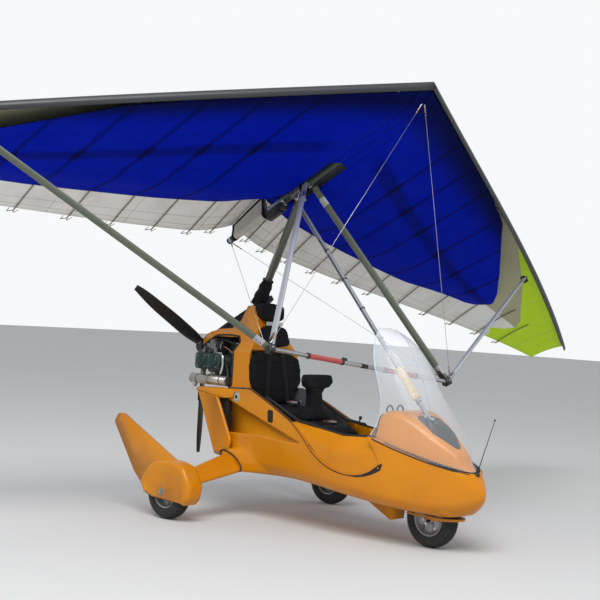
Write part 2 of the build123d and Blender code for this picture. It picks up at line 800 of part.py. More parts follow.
# Duct fairings on the flanks, shaped round the legs
for place, sign in (("port", 1), ("starboard", -1)):
    with BuildPart() as duct:
        with BuildSketch(Plane.XZ.offset(-sign * duct_in)):
            with BuildLine():
                Polyline((-392, 916), (-140, 884), (38, 560), (30, 470), (-150, 420), close=True)
            make_face()
        with BuildSketch(Plane.XZ.offset(-sign * duct_out)):
            with BuildLine():
                Polyline((-368, 900), (-152, 872), (18, 560), (8, 486), (-150, 440), close=True)
            make_face()
        loft(ruled=True)
        fillet(duct.faces().sort_by(Axis.Y)[-1 if sign > 0 else 0].edges(), 14)
        with BuildSketch(Plane.XZ.offset(-sign * (duct_in - 5))):
            with BuildLine():
                Polyline((-300, 880), (-90, 850), (60, 560), (60, 500), (-140, 460), close=True)
            make_face()
        extrude(amount=-sign * (duct_out - duct_in - 12), mode=Mode.SUBTRACT)
        add(hull.part, mode=Mode.SUBTRACT)
        add(pieces["rear_leg_" + place].part, mode=Mode.SUBTRACT)
    # What the flare cuts off below it is dropped
    with BuildPart() as duct_panel:
        add(duct.solids().sort_by(SortBy.VOLUME)[-1])
    pieces["duct_" + place] = duct_panel

# Propeller: hub and three blades, one straight down as parked
with BuildPart() as prop_hub:
    with BuildSketch(Plane.YZ.offset(prop_x - 34)):
        with Locations((0, prop_z)):
            Circle(prop_hub_radius)
            Circle(15 + axle_play, mode=Mode.SUBTRACT)
    extrude(amount=68)
    with BuildSketch(Plane.YZ.offset(prop_x - 44)):
        with Locations((0, prop_z)):
            Circle(38)
    extrude(amount=10)
pieces["prop_hub"] = prop_hub

with BuildPart() as blades:
    for number in range(3):
        turn = 120 * number
        root = Plane(Location((prop_x, 0, prop_z), (turn, 0, 0)) * Location((0, 0, 0), (180, 0, 0)))
        for reach, chord, thick, twist in blade_sections:
            with BuildSketch(root.offset(reach)):
                with Locations(Location((0, 0), 90 - twist)):
                    Ellipse(chord / 2, thick / 2)
        loft()
    with BuildSketch(Plane.YZ.offset(prop_x - 60)):
        with Locations((0, prop_z)):
            Circle(prop_hub_radius)
    extrude(amount=120, mode=Mode.SUBTRACT)
pieces["prop_blades"] = blades

# Whip aerial on the nose
with BuildPart() as aerial:
    rod((2066, 0, 540), (2074, 0, 562), 9)
    rod((2074, 0, 562), (2186, 0, 910), 3.5, tip=2)
    add(hull.part, mode=Mode.SUBTRACT)
pieces["aerial"] = aerial

# Wing: built about the keel, then hung on the block at the parked attitude
wing_at = block_at * Location((0, 0, keel_above_bolt), (wing_roll, 0, 0))
wing_pieces = {}

with BuildPart() as keel:
    rod((keel_back, 0, 0), (keel_front, 0, 0), keel_radius)
    for x in (-66, 56):
        rod((x, 0, 0), (x + 10, 0, 0), keel_radius + 9)
    rod((108, 0, 0), (160, 0, 0), keel_radius + 5)
wing_pieces["keel"] = keel


def rib(station):
    """One rib's trailing edge, nose centre, nose radius and chord length; the cloth rises to the keel pocket."""
    t = station / 1000
    lift = root_lift * max(0, 1 - station / root_lift_span) ** 2
    tail = Vector(cubic(t, trailing_x), 0, cubic(t, trailing_z) + lift)
    front = Vector(cubic(t, leading_x), 0, cubic(t, leading_z))
    nose_r = min(tube_nose_radius, nose_share * (front.X - tail.X))
    nose = front - Vector(nose_r, 0, nose_r)
    return tail, nose, nose_r, (nose - tail).length


for place, sign in (("port", 1), ("starboard", -1)):
    with BuildPart() as sail:
        for station, share, deep, front_deep in rib_table:
            tail, nose, nose_r, length = rib(station)
            out = Vector(0, sign * station, 0)
            step, crest, rise = share * length, (1 - crest_at) * length, camber * length
            arc_r = (crest**2 + rise**2) / (2 * rise)
            step_top = rise - arc_r + sqrt(arc_r**2 - (crest - step) ** 2)
            flat, bend = step + slope_share * length, length - 2 * nose_r
            with BuildSketch(Plane(origin=tail + out, x_dir=nose - tail, z_dir=(0, -1, 0))):
                with BuildLine():
                    Polyline((0, 0), (0, -skin), (step, step_top - skin), (flat, -deep), (bend, -front_deep), (length, -nose_r))
                    ThreePointArc((length, -nose_r), (length + nose_r, 0), (length, nose_r))
                    TangentArc((crest, rise), (length, nose_r), tangent=(1, 0))
                    TangentArc((crest, rise), (0, 0), tangent=(-1, 0))
                make_face()
        loft(ruled=True)
        # Air space between the two skins, out to the last rib but one
        for station, share, deep, front_deep in rib_table[:-1]:
            tail, nose, nose_r, length = rib(station)
            out = Vector(0, sign * station, 0)
            step, crest, rise = share * length, (1 - crest_at) * length, camber * length
            arc_r = (crest**2 + rise**2) / (2 * rise)
            step_low = rise - arc_r + sqrt(arc_r**2 - (crest - step) ** 2) - skin
            start = step + 0.06 * length + 10
            start_top = rise - arc_r + sqrt(arc_r**2 - (crest - start) ** 2) - skin
            flat, bend = step + slope_share * length, length - 2 * nose_r
            start_low = step_low + (start - step) / (flat - step) * (-deep - step_low) + skin + 1
            with BuildSketch(Plane(origin=tail + out, x_dir=nose - tail, z_dir=(0, -1, 0))):
                with BuildLine():
                    front = length - 0.4 * nose_r
                    Polyline(
                        (start, start_top), (start, start_low), (flat, skin - deep), (bend, skin - front_deep),
                        (front, skin - nose_r), (front, nose_r - skin),
                    )
                    TangentArc((crest, rise - skin), (front, nose_r - skin), tangent=(1, 0))
                    TangentArc((crest, rise - skin), (start, start_top), tangent=(-1, 0))
                make_face()
        loft(ruled=True, mode=Mode.SUBTRACT)
        # Opening in the undersurface, round the hang point and the keel behind it
        with BuildSketch(Plane.XY.offset(-160)):
            with Locations(((hang_opening[0] + hang_opening[1]) / 2, 0)):
                RectangleRounded(hang_opening[1] - hang_opening[0], 2 * hang_opening[2], 60)
        extrude(amount=220, mode=Mode.SUBTRACT)
    wing_pieces["sail_" + place] = sail

corner_x, corner_y, corner_z = bar_corner
with BuildPart() as base_bar:
    rod((corner_x, -corner_y, corner_z), (corner_x, corner_y, corner_z), bar_radius)
    for sign in (-1, 1):
        with BuildSketch(Plane.XY.offset(corner_z - 22)):
            with Locations((corner_x, sign * (corner_y + 4))):
                RectangleRounded(56, 48, 14)
        extrude(amount=44)
wing_pieces["base_bar"] = base_bar

for place, sign in (("port", 1), ("starboard", -1)):
    corner = Vector(corner_x, sign * corner_y, corner_z)
    top = Vector(downtube_top[0], sign * downtube_top[1], downtube_top[2])
    with BuildPart() as downtube:
        line = corner - top
        across = Vector(1, 0, 0) - line * (line.X / line.length**2)
        with BuildSketch(Plane(origin=top, x_dir=across, z_dir=line)):
            Ellipse(downtube_long / 2, downtube_wide / 2)
        extrude(amount=line.length - 12)
        add(base_bar.part, mode=Mode.SUBTRACT)
        add(keel.part, mode=Mode.SUBTRACT)
    wing_pieces["downtube_" + place] = downtube

    strut_end = Vector(wing_strut_top[0], sign * wing_strut_top[1], wing_strut_top[2])
    with BuildPart() as wing_strut:
        line = strut_end - corner
        across = Vector(1, 0, 0) - line * (line.X / line.length**2)
        begin = corner + line * (16 / line.length)
        with BuildSketch(Plane(origin=begin, x_dir=across, z_dir=line)):
            Ellipse(downtube_long / 2, downtube_wide / 2)
        extrude(amount=line.length - 16)
        for seat in ("sail_" + place, "base_bar", "downtube_" + place):
            add(wing_pieces[seat].part, mode=Mode.SUBTRACT)
    wing_pieces["wing_strut_" + place] = wing_strut

with BuildPart() as grips:
    for sign in (-1, 1):
        rod((corner_x, sign * 215, corner_z), (corner_x, sign * 505, corner_z), grip_radius)
    rod((corner_x, -600, corner_z), (corner_x, 600, corner_z), bar_radius, mode=Mode.SUBTRACT)
wing_pieces["bar_grips"] = grips

with BuildPart() as wires:
    for sign in (-1, 1):
        for end_x, ahead in ((keel_front - 24, 22), (keel_back + 24, -22)):
            rod((end_x, sign * 4, -keel_radius + 1), (corner_x + ahead, sign * (corner_y + 20), corner_z + 20), wire_radius)
    for seat in ("keel", "base_bar", "wing_strut_port", "wing_strut_starboard", "sail_port", "sail_starboard"):
        add(wing_pieces[seat].part, mode=Mode.SUBTRACT)
wing_pieces["flying_wires"] = wires

with BuildPart() as pocket_web:
    with BuildSketch(Plane.XZ):
        with BuildLine():
            Polyline((-785, 0), (-385, 0), (-385, root_lift + 115), (-785, root_lift + 55), close=True)
        make_face()
    extrude(amount=pocket_thick / 2, both=True)
    rod((keel_back, 0, 0), (keel_front, 0, 0), keel_radius, mode=Mode.SUBTRACT)
    for place in ("port", "starboard"):
        add(wing_pieces["sail_" + place].part, mode=Mode.SUBTRACT)
# The web between the keel and the cloth is kept, not what passes through the cloth
with BuildPart() as pocket:
    add(pocket_web.solids().sort_by(Axis.Z)[0])
wing_pieces["keel_pocket"] = pocket

for name, piece in wing_pieces.items():
    piece.part.label = name
    export_step(wing_at * piece.part, f"parts/{name}.step")

for name, piece in pieces.items():
    piece.part.label = name
    export_step(piece.part, f"parts/{name}.step")
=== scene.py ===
import math

import bmesh
import bpy
from mathutils import Matrix, Vector
from mathutils.bvhtree import BVHTree


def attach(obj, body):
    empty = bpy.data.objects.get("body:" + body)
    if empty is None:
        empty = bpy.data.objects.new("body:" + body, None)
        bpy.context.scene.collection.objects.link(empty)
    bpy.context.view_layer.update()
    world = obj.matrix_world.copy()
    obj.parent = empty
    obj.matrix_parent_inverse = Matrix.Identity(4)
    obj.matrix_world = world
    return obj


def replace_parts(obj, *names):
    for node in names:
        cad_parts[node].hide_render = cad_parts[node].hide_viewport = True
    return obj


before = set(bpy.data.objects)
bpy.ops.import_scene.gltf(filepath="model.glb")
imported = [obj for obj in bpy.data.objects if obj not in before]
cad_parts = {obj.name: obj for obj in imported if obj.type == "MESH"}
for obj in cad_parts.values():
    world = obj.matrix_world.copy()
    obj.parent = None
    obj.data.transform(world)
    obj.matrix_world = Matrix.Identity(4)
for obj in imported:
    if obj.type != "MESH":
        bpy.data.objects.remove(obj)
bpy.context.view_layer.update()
scene = bpy.context.scene
print("frame loaded:", len(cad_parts), "nodes")

bothSides = (("Port", 1), ("Starboard", -1))


class Wire:
    # A node's output that takes part in ordinary sums
    def __init__(self, look, socket):
        self.look = look
        self.socket = socket

    def work(self, operation, *values):
        return self.look.node("ShaderNodeMath", {"operation": operation}, dict(enumerate(values)))

    def __add__(self, other):
        return self.work("ADD", self, other)

    def __sub__(self, other):
        return self.work("SUBTRACT", self, other)

    def __rsub__(self, other):
        return self.work("SUBTRACT", other, self)

    def __mul__(self, other):
        return self.work("MULTIPLY", self, other)

    def __abs__(self):
        return self.work("ABSOLUTE", self)

    def __mod__(self, other):
        return self.work("FLOORED_MODULO", self, other)

    __radd__ = __add__
    __rmul__ = __mul__

    def sine(self):
        return self.work("SINE", self)

    def ramp(self, low, high, start=0.0, end=1.0):
        # A soft step from start to end as the value goes from low to high
        values = {0: self, 1: low, 2: high, 3: start, 4: end}
        return self.look.node("ShaderNodeMapRange", {"interpolation_type": "SMOOTHSTEP"}, values)

    def band(self, middle, half, soft):
        # 1 within half of the middle, falling to 0 over soft
        return abs(self - middle).ramp(half, half + soft, 1.0, 0.0)


def rgba(colour):
    return (*colour, 1.0) if isinstance(colour, tuple) and len(colour) == 3 else colour


def shaded(colour, factor):
    return tuple(min(1.0, channel * factor) for channel in colour)


class Look:
    # A material and its nodes
    def __init__(self, name):
        self.material = bpy.data.materials.new(name)
        self.material.use_nodes = True
        self.tree = self.material.node_tree
        self.tree.nodes.clear()
        self.place = self.node("ShaderNodeTexCoord", output="Object")

    def node(self, kind, settings=None, values=None, output=0):
        made = self.tree.nodes.new(kind)
        for key, setting in (settings or {}).items():
            if key == "stops":
                stops = made.color_ramp.elements
                while len(stops) < len(setting):
                    stops.new(1.0)
                for stop, (at, colour) in zip(stops, setting):
                    stop.position, stop.color = at, rgba(colour)
            else:
                setattr(made, key, setting)
        for key, value in (values or {}).items():
            if isinstance(value, Wire):
                self.tree.links.new(value.socket, made.inputs[key])
            elif value is not None:
                made.inputs[key].default_value = rgba(value)
        return Wire(self, made.outputs[output])

    def noise(self, scale, detail=3.0, rough=0.5, at=None):
        values = {"Vector": at or self.place, "Scale": scale, "Detail": detail, "Roughness": rough}
        return self.node("ShaderNodeTexNoise", None, values)

    def stretch(self, x, y, z):
        return self.node("ShaderNodeMapping", None, {"Vector": self.place, "Scale": Vector((x, y, z))})

    def parts(self, vector=None):
        made = self.tree.nodes.new("ShaderNodeSeparateXYZ")
        self.tree.links.new((vector or self.place).socket, made.inputs[0])
        return [Wire(self, socket) for socket in made.outputs]

    def mix(self, factor, first, second):
        return self.node("ShaderNodeMix", {"data_type": "RGBA"}, {0: factor, 6: first, 7: second}, output=2)

    def weave(self, pitch):
        # Over and under threads, as a height from 0 to 1
        x, y, z = self.parts()
        across = (x * (math.tau / pitch)).sine()
        along = ((y + z) * (math.tau / pitch)).sine()
        return (across * along) * 0.5 + 0.5

    def surface(self, colour, rough, metal=0.0, height=None, depth=0.002, strength=1.0, **fixed):
        values = {"Base Color": colour, "Roughness": rough, "Metallic": metal}
        values.update({key.replace("_", " "): value for key, value in fixed.items()})
        if height is not None:
            bump = {"Strength": strength, "Distance": depth, "Height": height}
            values["Normal"] = self.node("ShaderNodeBump", None, bump)
        shader = self.node("ShaderNodeBsdfPrincipled", None, values)
        end = self.tree.nodes.new("ShaderNodeOutputMaterial")
        self.tree.links.new(shader.socket, end.inputs[0])
        return self.material


def paintedGel(name, base, shade):
    # Glossy gelcoat with faint orange peel, road dirt low down and fine scuffs
    look = Look(name)
    low = look.parts()[2].ramp(0.15, 0.5, 1.0, 0.12)
    dirt = look.noise(5.0, 6.0, 0.65).ramp(0.42, 0.72) * low
    scuff = look.noise(60.0, 4.0, 0.6, look.stretch(1.0, 1.0, 5.0)).ramp(0.62, 0.75)
    colour = look.mix(look.noise(1.7, 2.0).ramp(0.3, 0.7), base, shade)
    colour = look.mix(dirt * 0.35, colour, (0.16, 0.1, 0.045))
    return look.surface(
        colour, 0.28 + dirt * 0.3 + scuff * 0.1, height=look.noise(420.0, 2.0), depth=0.0006, strength=0.12,
        Coat_Weight=0.12, Coat_Roughness=0.08, Specular_IOR_Level=0.3,
    )


def grainPlastic(name, base, rough=0.5, grain=900.0):
    look = Look(name)
    wear = look.noise(30.0, 5.0, 0.6).ramp(0.55, 0.8)
    colour = look.mix(wear * 0.5, base, tuple(min(1.0, c * 2.2 + 0.02) for c in base))
    bumps = look.noise(grain, 2.0)
    return look.surface(colour, rough + wear * 0.15, height=bumps, depth=0.0008, strength=0.35)


def tubeAlloy(name, base, rough=0.32, metal=0.9, streak=(3.0, 3.0, 60.0)):
    # Drawn tube: fine streaks, light oxide blooms and scratches
    look = Look(name)
    bloom = look.noise(9.0, 5.0, 0.6).ramp(0.45, 0.75)
    streaks = look.noise(25.0, 3.0, 0.6, look.stretch(*streak))
    colour = look.mix(bloom * 0.45, base, shaded(base, 0.62))
    colour = look.mix(streaks.ramp(0.55, 0.8) * 0.3, colour, shaded(base, 1.25))
    return look.surface(colour, rough + bloom * 0.16, metal, height=streaks, depth=0.0005, strength=0.25)


def wovenCloth(name, base, pitch=0.0022):
    look = Look(name)
    fade = look.noise(7.0, 4.0).ramp(0.35, 0.75)
    colour = look.mix(fade, base, tuple(c * 1.8 for c in base))
    return look.surface(
        colour, 0.82 + fade * 0.08, height=look.weave(pitch), depth=0.0006, strength=0.5,
        Sheen_Weight=0.03, Sheen_Roughness=0.5, Specular_IOR_Level=0.2,
    )


def brushedSteel(name, base):
    look = Look(name)
    heat = look.noise(6.0).ramp(0.4, 0.7)
    lines = look.noise(30.0, 3.0, 0.6, look.stretch(2.0, 40.0, 40.0))
    colour = look.mix(heat * 0.5, base, (0.36, 0.29, 0.2))
    return look.surface(colour, 0.34 + lines * 0.15, 0.95, height=lines, depth=0.0004, strength=0.2)


def tyreRubber(name):
    look = Look(name)
    dust = look.noise(22.0, 5.0, 0.6).ramp(0.45, 0.75)
    mud = look.noise(9.0, 4.0).ramp(0.55, 0.7)
    colour = look.mix(dust * 0.5, (0.016, 0.016, 0.017), (0.05, 0.047, 0.042))
    colour = look.mix(mud * 0.25, colour, (0.1, 0.085, 0.055))
    return look.surface(colour, 0.78 + dust * 0.12, height=look.noise(500.0, 2.0), depth=0.0006, strength=0.4)


def foam(name, base, rough=0.8, pitch=0.004):
    look = Look(name)
    soil = look.noise(14.0, 5.0, 0.6).ramp(0.45, 0.8)
    colour = look.mix(soil * 0.5, base, shaded(base, 0.6))
    cells = look.node("ShaderNodeTexVoronoi", None, {"Vector": look.place, "Scale": 1.0 / pitch})
    return look.surface(colour, rough, height=cells, depth=0.0008, strength=0.5, Sheen_Weight=0.2)


gelOrange = paintedGel("gelOrange", (0.67, 0.245, 0.0012), (0.59, 0.2, 0.001))
badgeGrey = paintedGel("badgeGrey", (0.55, 0.55, 0.53), (0.5, 0.5, 0.48))
coverGreen = paintedGel("coverGreen", (0.008, 0.05, 0.042), (0.006, 0.036, 0.032))
plasticBlack = grainPlastic("plasticBlack", (0.02, 0.02, 0.022))
castDark = grainPlastic("castDark", (0.03, 0.045, 0.04), 0.55, 300.0)
castGrey = grainPlastic("castGrey", (0.2, 0.2, 0.195), 0.42, 350.0)
bladeBlack = grainPlastic("bladeBlack", (0.014, 0.014, 0.015), 0.36, 700.0)
rubberTrim = grainPlastic("rubberTrim", (0.012, 0.012, 0.013), 0.6, 600.0)
hoseRubber = grainPlastic("hoseRubber", (0.015, 0.015, 0.016), 0.5, 800.0)
# Near-black used as painted shade in gaps, openings and the engine bay
shadeBlack = grainPlastic("shadeBlack", (0.008, 0.008, 0.009), 0.75, 200.0)
panelGrey = grainPlastic("panelGrey", (0.1, 0.105, 0.12), 0.35, 500.0)
fuelAmber = grainPlastic("fuelLine", (0.35, 0.24, 0.1), 0.3, 300.0)
battenLook = grainPlastic("battenLook", (0.2, 0.18, 0.12), 0.5)
nylon = grainPlastic("nylon", (0.02, 0.02, 0.022), 0.42, 500.0)
dialFace = grainPlastic("dialFace", (0.01, 0.01, 0.01), 0.5, 100.0)
needleWhite = grainPlastic("needleWhite", (0.75, 0.75, 0.72), 0.5, 100.0)
screenEdge = grainPlastic("screenEdge", (0.55, 0.62, 0.68), 0.2, 100.0)
mastPaint = tubeAlloy("mastPaint", (0.12, 0.125, 0.095), 0.42, 0.3)
strutAlloy = tubeAlloy("strutAlloy", (0.46, 0.48, 0.51), 0.34, 0.35)
wireSteel = tubeAlloy("wireSteel", (0.5, 0.5, 0.52), 0.35)
screwSteel = tubeAlloy("screwSteel", (0.45, 0.45, 0.46), 0.35, 0.95, (9.0, 9.0, 9.0))
rimPaint = tubeAlloy("rimPaint", (0.36, 0.37, 0.38), 0.42, 0.6, (8.0, 8.0, 8.0))
chrome = tubeAlloy("chrome", (0.62, 0.62, 0.6), 0.16, 1.0, (6.0, 6.0, 6.0))
copperDull = tubeAlloy("copperDull", (0.42, 0.26, 0.16), 0.45, 0.8, (6.0, 6.0, 6.0))
brightTube = tubeAlloy("brightTube", (0.5, 0.515, 0.53), 0.34, 0.3, (2.0, 2.0, 2.0))
# Dark green-grey copy of the tube alloy: painted shade and painted reflection of grass
shadedTube = tubeAlloy("shadedTube", (0.125, 0.142, 0.105), 0.4, 0.2, (2.0, 2.0, 2.0))
fittingAlloy = tubeAlloy("fittingAlloy", (0.52, 0.53, 0.54), 0.36, 0.9, (7.0, 7.0, 7.0))
exhaustSteel = brushedSteel("exhaustSteel", (0.56, 0.54, 0.5))
brushedHeat = brushedSteel("brushedHeat", (0.33, 0.29, 0.24))
seatCloth = wovenCloth("seatCloth", (0.0038, 0.0038, 0.0046))
coverCloth = wovenCloth("coverCloth", (0.0042, 0.0042, 0.0048), 0.003)
liningGrey = wovenCloth("liningGrey", (0.045, 0.045, 0.047), 0.004)
webbing = wovenCloth("webbing", (0.006, 0.006, 0.007), 0.0016)
paleWeb = wovenCloth("paleWeb", (0.42, 0.42, 0.4), 0.002)
pocketCloth = foam("pocketCloth", (0.52, 0.5, 0.44), 0.75, 0.003)
padFoam = foam("padFoam", (0.7, 0.52, 0.22))
gripFoam = foam("gripFoam", (0.42, 0.06, 0.05), 0.7)
rubberBlack = tyreRubber("rubberBlack")
print("looks made")


def linked(name, data):
    made = bpy.data.objects.new(name, data)
    scene.collection.objects.link(made)
    return made


def onBody(made, body):
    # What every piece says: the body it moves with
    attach(made, body)
    return made


def piece(name, bm, look, body="trike", angle=35.0):
    # The finished mesh, in the row frame, riding on its body
    mesh = bpy.data.meshes.new(name)
    bm.to_mesh(mesh)
    bm.free()
    mesh.materials.append(look)
    for polygon in mesh.polygons:
        polygon.use_smooth = True
    mesh.set_sharp_from_angle(angle=math.radians(angle))
    return onBody(linked(name, mesh), body)


def thicken(made, thickness, offset=0.0):
    wall = made.modifiers.new("wall", "SOLIDIFY")
    wall.thickness = thickness
    wall.offset = offset
    return made


def subdivided(made):
    smooth = made.modifiers.new("smooth", "SUBSURF")
    smooth.levels = smooth.render_levels = 1
    return made


def outward(bm):
    bmesh.ops.recalc_face_normals(bm, faces=bm.faces)
    return bm


def merged(bm, distance=1e-5):
    bmesh.ops.remove_doubles(bm, verts=bm.verts, dist=distance)
    return outward(bm)


def shift(x, y, z):
    return Matrix.Translation((x, y, z))


def turn(degrees, axis):
    return Matrix.Rotation(math.radians(degrees), 4, axis)


def turnedTo(spot, way):
    # A frame at spot with its z along way
    return Matrix.Translation(spot) @ Vector(way).to_track_quat("Z", "Y").to_matrix().to_4x4()


def aimed(start, end):
    # The same from start towards end, and the distance
    line = Vector(end) - Vector(start)
    return turnedTo(start, line), line.length


def circle(radius, count, start=0.0):
    # Evenly spaced points round a circle
    turns = [math.tau * (number + start) / count for number in range(count)]
    return [(radius * math.cos(a), radius * math.sin(a)) for a in turns]


def mirrored(points, side):
    return [Vector((x, side * y, z)) for x, y, z in points]


def addRod(bm, start, end, radius, tip=None, segments=20):
    at, length = aimed(start, end)
    bmesh.ops.create_cone(
        bm, cap_ends=True, segments=segments, radius1=radius, radius2=radius if tip is None else tip,
        depth=length, matrix=at @ shift(0, 0, length / 2),
    )


def addBox(bm, size, at, bevel=0.0, segments=2):
    at = at if isinstance(at, Matrix) else Matrix.Translation(at)
    made = bmesh.ops.create_cube(bm, size=1.0, matrix=at @ Matrix.Diagonal((*size, 1.0)))
    if bevel:
        edges = {edge for vert in made["verts"] for edge in vert.link_edges}
        bmesh.ops.bevel(
            bm, geom=list(edges), offset=bevel, segments=segments, profile=0.5, affect="EDGES", material=-1)


def addLathe(bm, profile, at, steps=32):
    # Spins a profile of (radius, height) round the z axis of at
    verts = [bm.verts.new(at @ Vector((radius, 0, height))) for radius, height in profile]
    edges = [bm.edges.new(pair) for pair in zip(verts, verts[1:])]
    bmesh.ops.spin(
        bm, geom=verts + edges, cent=at.translation, axis=at.to_3x3() @ Vector((0, 0, 1)), angle=math.tau,
        steps=steps, use_merge=True,
    )


def addBand(bm, inner, outer, half, at, steps):
    # A square-edged ring round the z axis of at
    addLathe(bm, [(inner, -half), (outer, -half), (outer, half), (inner, half)], at, steps)


def extrude(bm, face, by):
    grown = bmesh.ops.extrude_face_region(bm, geom=[face])
    bmesh.ops.translate(bm, vec=by, verts=[v for v in grown["geom"] if isinstance(v, bmesh.types.BMVert)])


def addPlate(bm, outline, at, thickness):
    # A flat outline in the xy plane of at, given a thickness along z
    face = bm.faces.new([bm.verts.new(at @ Vector((x, y, 0))) for x, y in outline])
    extrude(bm, face, at.to_3x3() @ Vector((0, 0, thickness)))


def addSkin(bm, rows, closed=False, ends=0):
    # Quads between rows of points; closed rows can have a face at the last end or at both
    rows = [[bm.verts.new(spot) for spot in row] for row in rows]
    for first, second in zip(rows, rows[1:]):
        count = len(first)
        for k in range(count if closed else count - 1):
            bm.faces.new((first[k], first[(k + 1) % count], second[(k + 1) % count], second[k]))
    if ends:
        bm.faces.new(rows[-1])
    if ends > 1:
        bm.faces.new(list(reversed(rows[0])))


def addNut(bm, spot, way, radius=0.009, height=0.007):
    # A washer and a six-sided nut on it
    washer = 0.0016
    for count, low, high, base, tall in (
        (20, radius * 1.35, radius * 1.35, 0.0, washer), (6, radius, radius * 0.97, washer, height),
    ):
        bmesh.ops.create_cone(
            bm, cap_ends=True, segments=count, radius1=low, radius2=high, depth=tall,
            matrix=turnedTo(spot, way) @ shift(0, 0, base + tall / 2))


def addScrew(bm, spot, way, radius=0.006, height=0.003):
    shape = ((0.0, 1), (0.55, 1), (0.6, 0.55), (0.75, 0.95), (1, 0.5), (1, 0.0))
    profile = [(max(radius * out, 0.0001), height * high) for out, high in shape]
    addLathe(bm, profile, turnedTo(spot, way), 14)


def tubePath(name, points, radius, look, body="trike", resolution=6):
    # A hose, wire or bent tube through the points, as a curve
    curve = bpy.data.curves.new(name, "CURVE")
    curve.dimensions = "3D"
    curve.bevel_depth = radius
    curve.bevel_resolution = 3
    curve.use_fill_caps = True
    line = curve.splines.new("NURBS")
    line.points.add(len(points) - 1)
    for spot, at in zip(line.points, points):
        spot.co = (*at, 1.0)
    line.order_u = 3
    line.use_endpoint_u = True
    line.resolution_u = resolution
    curve.materials.append(look)
    return onBody(linked(name, curve), body)


def cadCopy(*names):
    # The CAD nodes' meshes as one merged bmesh; the nodes themselves are left alone
    bm = bmesh.new()
    for name in names:
        bm.from_mesh(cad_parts[name].data)
    bmesh.ops.remove_doubles(bm, verts=bm.verts, dist=1e-6)
    return bm


def skinOf(*names):
    bm = cadCopy(*names)
    tree = BVHTree.FromBMesh(bm)
    bm.free()
    return tree


def dressed(name, look, body="trike", angle=32.0):
    # A merged, smooth-shaded copy that stands for its CAD node
    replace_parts(piece(name + "Skin", cadCopy(name), look, body, angle), name)


def padded(made, fill, *nodes):
    if nodes:
        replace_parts(made, *nodes)


def news(count):
    # Several empty shapes
    return [bmesh.new() for number in range(count)]


def strapAlong(bm, points, across):
    # A flat strap through the points; across gives half its width as a vector
    addSkin(bm, [(spot - across, spot + across) for spot in points])


def hit(tree, start, way):
    # The first point of a skin along a ray, and the skin's normal there
    return tree.ray_cast(Vector(start), Vector(way))[:2]


# The photograph's camera: degrees and millimetres
camera = {"place": (7.1276, -7.0794, 1.503), "heading": 133.72, "climb": 0.77, "bank": 3.42, "lens": 78.16}


def makeCamera():
    heading, climb, bank = (math.radians(camera[key]) for key in ("heading", "climb", "bank"))
    level = math.cos(climb)
    ahead = Vector((math.cos(heading) * level, math.sin(heading) * level, math.sin(climb)))
    right = Vector((math.sin(heading), -math.cos(heading), 0))
    above = right.cross(ahead)
    across = right * math.cos(bank) + above * math.sin(bank)
    upright = above * math.cos(bank) - right * math.sin(bank)
    turned = Matrix((across, upright, -ahead)).transposed().to_4x4()
    data = bpy.data.cameras.new("photoCamera")
    data.lens = camera["lens"]
    data.sensor_width = 36.0
    scene.camera = linked("photoCamera", data)
    scene.camera.matrix_world = shift(*camera["place"]) @ turned


makeCamera()

studio = {
    "floorColour": (0.64, 0.64, 0.63),
    "skyColour": (0.93, 0.94, 0.95),
    "skyLight": 0.62,
    "keyPower": 1500.0,
    "keyPlace": (6.0, -7.0, 11.0),
    "keySize": 9.0,
}


def makeStudio():
    bm = bmesh.new()
    bmesh.ops.create_grid(bm, x_segments=4, y_segments=4, size=60.0)
    mesh = bpy.data.meshes.new("floor")
    bm.to_mesh(mesh)
    bm.free()
    look = Look("floorPaint")
    colour = look.mix(look.noise(0.8, 4.0), studio["floorColour"], shaded(studio["floorColour"], 0.96))
    mesh.materials.append(look.surface(colour, 0.9))
    linked("floor", mesh)
    # One sky that lights, and a plain one that the camera sees
    scene.world = bpy.data.worlds.new("sky")
    scene.world.use_nodes = True
    tree = scene.world.node_tree
    tree.nodes.clear()
    kinds = ("LightPath", "Background", "Background", "MixShader", "OutputWorld")
    path, light, seen, both, end = (tree.nodes.new("ShaderNode" + kind) for kind in kinds)
    light.inputs[0].default_value, light.inputs[1].default_value = (0.95, 0.97, 1.0, 1.0), studio["skyLight"]
    seen.inputs[0].default_value, seen.inputs[1].default_value = rgba(studio["skyColour"]), 1.0
    for number, output in enumerate((path.outputs["Is Camera Ray"], light.outputs[0], seen.outputs[0])):
        tree.links.new(output, both.inputs[number])
    tree.links.new(both.outputs[0], end.inputs[0])
    lamp = bpy.data.lights.new("keyLight", "AREA")
    lamp.shape = "DISK"
    lamp.size = studio["keySize"]
    lamp.energy = studio["keyPower"]
    place = Vector(studio["keyPlace"])
    aim = (Vector((0.6, 0, 0.8)) - place).to_track_quat("-Z", "Y")
    linked("keyLight", lamp).matrix_world = Matrix.Translation(place) @ aim.to_matrix().to_4x4()
    scene.view_settings.view_transform = "Standard"


makeStudio()
print("camera and studio made")

# The wing's own frame: x forward along the keel, y to port, z up, zero on the keel above the hang bolt
hang = {"bolt": (0.295, 0.0, 2.399), "yaw": -3.03, "pitch": -26.37, "roll": -7.27, "keelAbove": 0.068}
blockAt = shift(*hang["bolt"]) @ (turn(hang["yaw"], "Z") @ turn(hang["pitch"], "Y"))
wingAt = blockAt @ shift(0, 0, hang["keelAbove"]) @ turn(hang["roll"], "X")

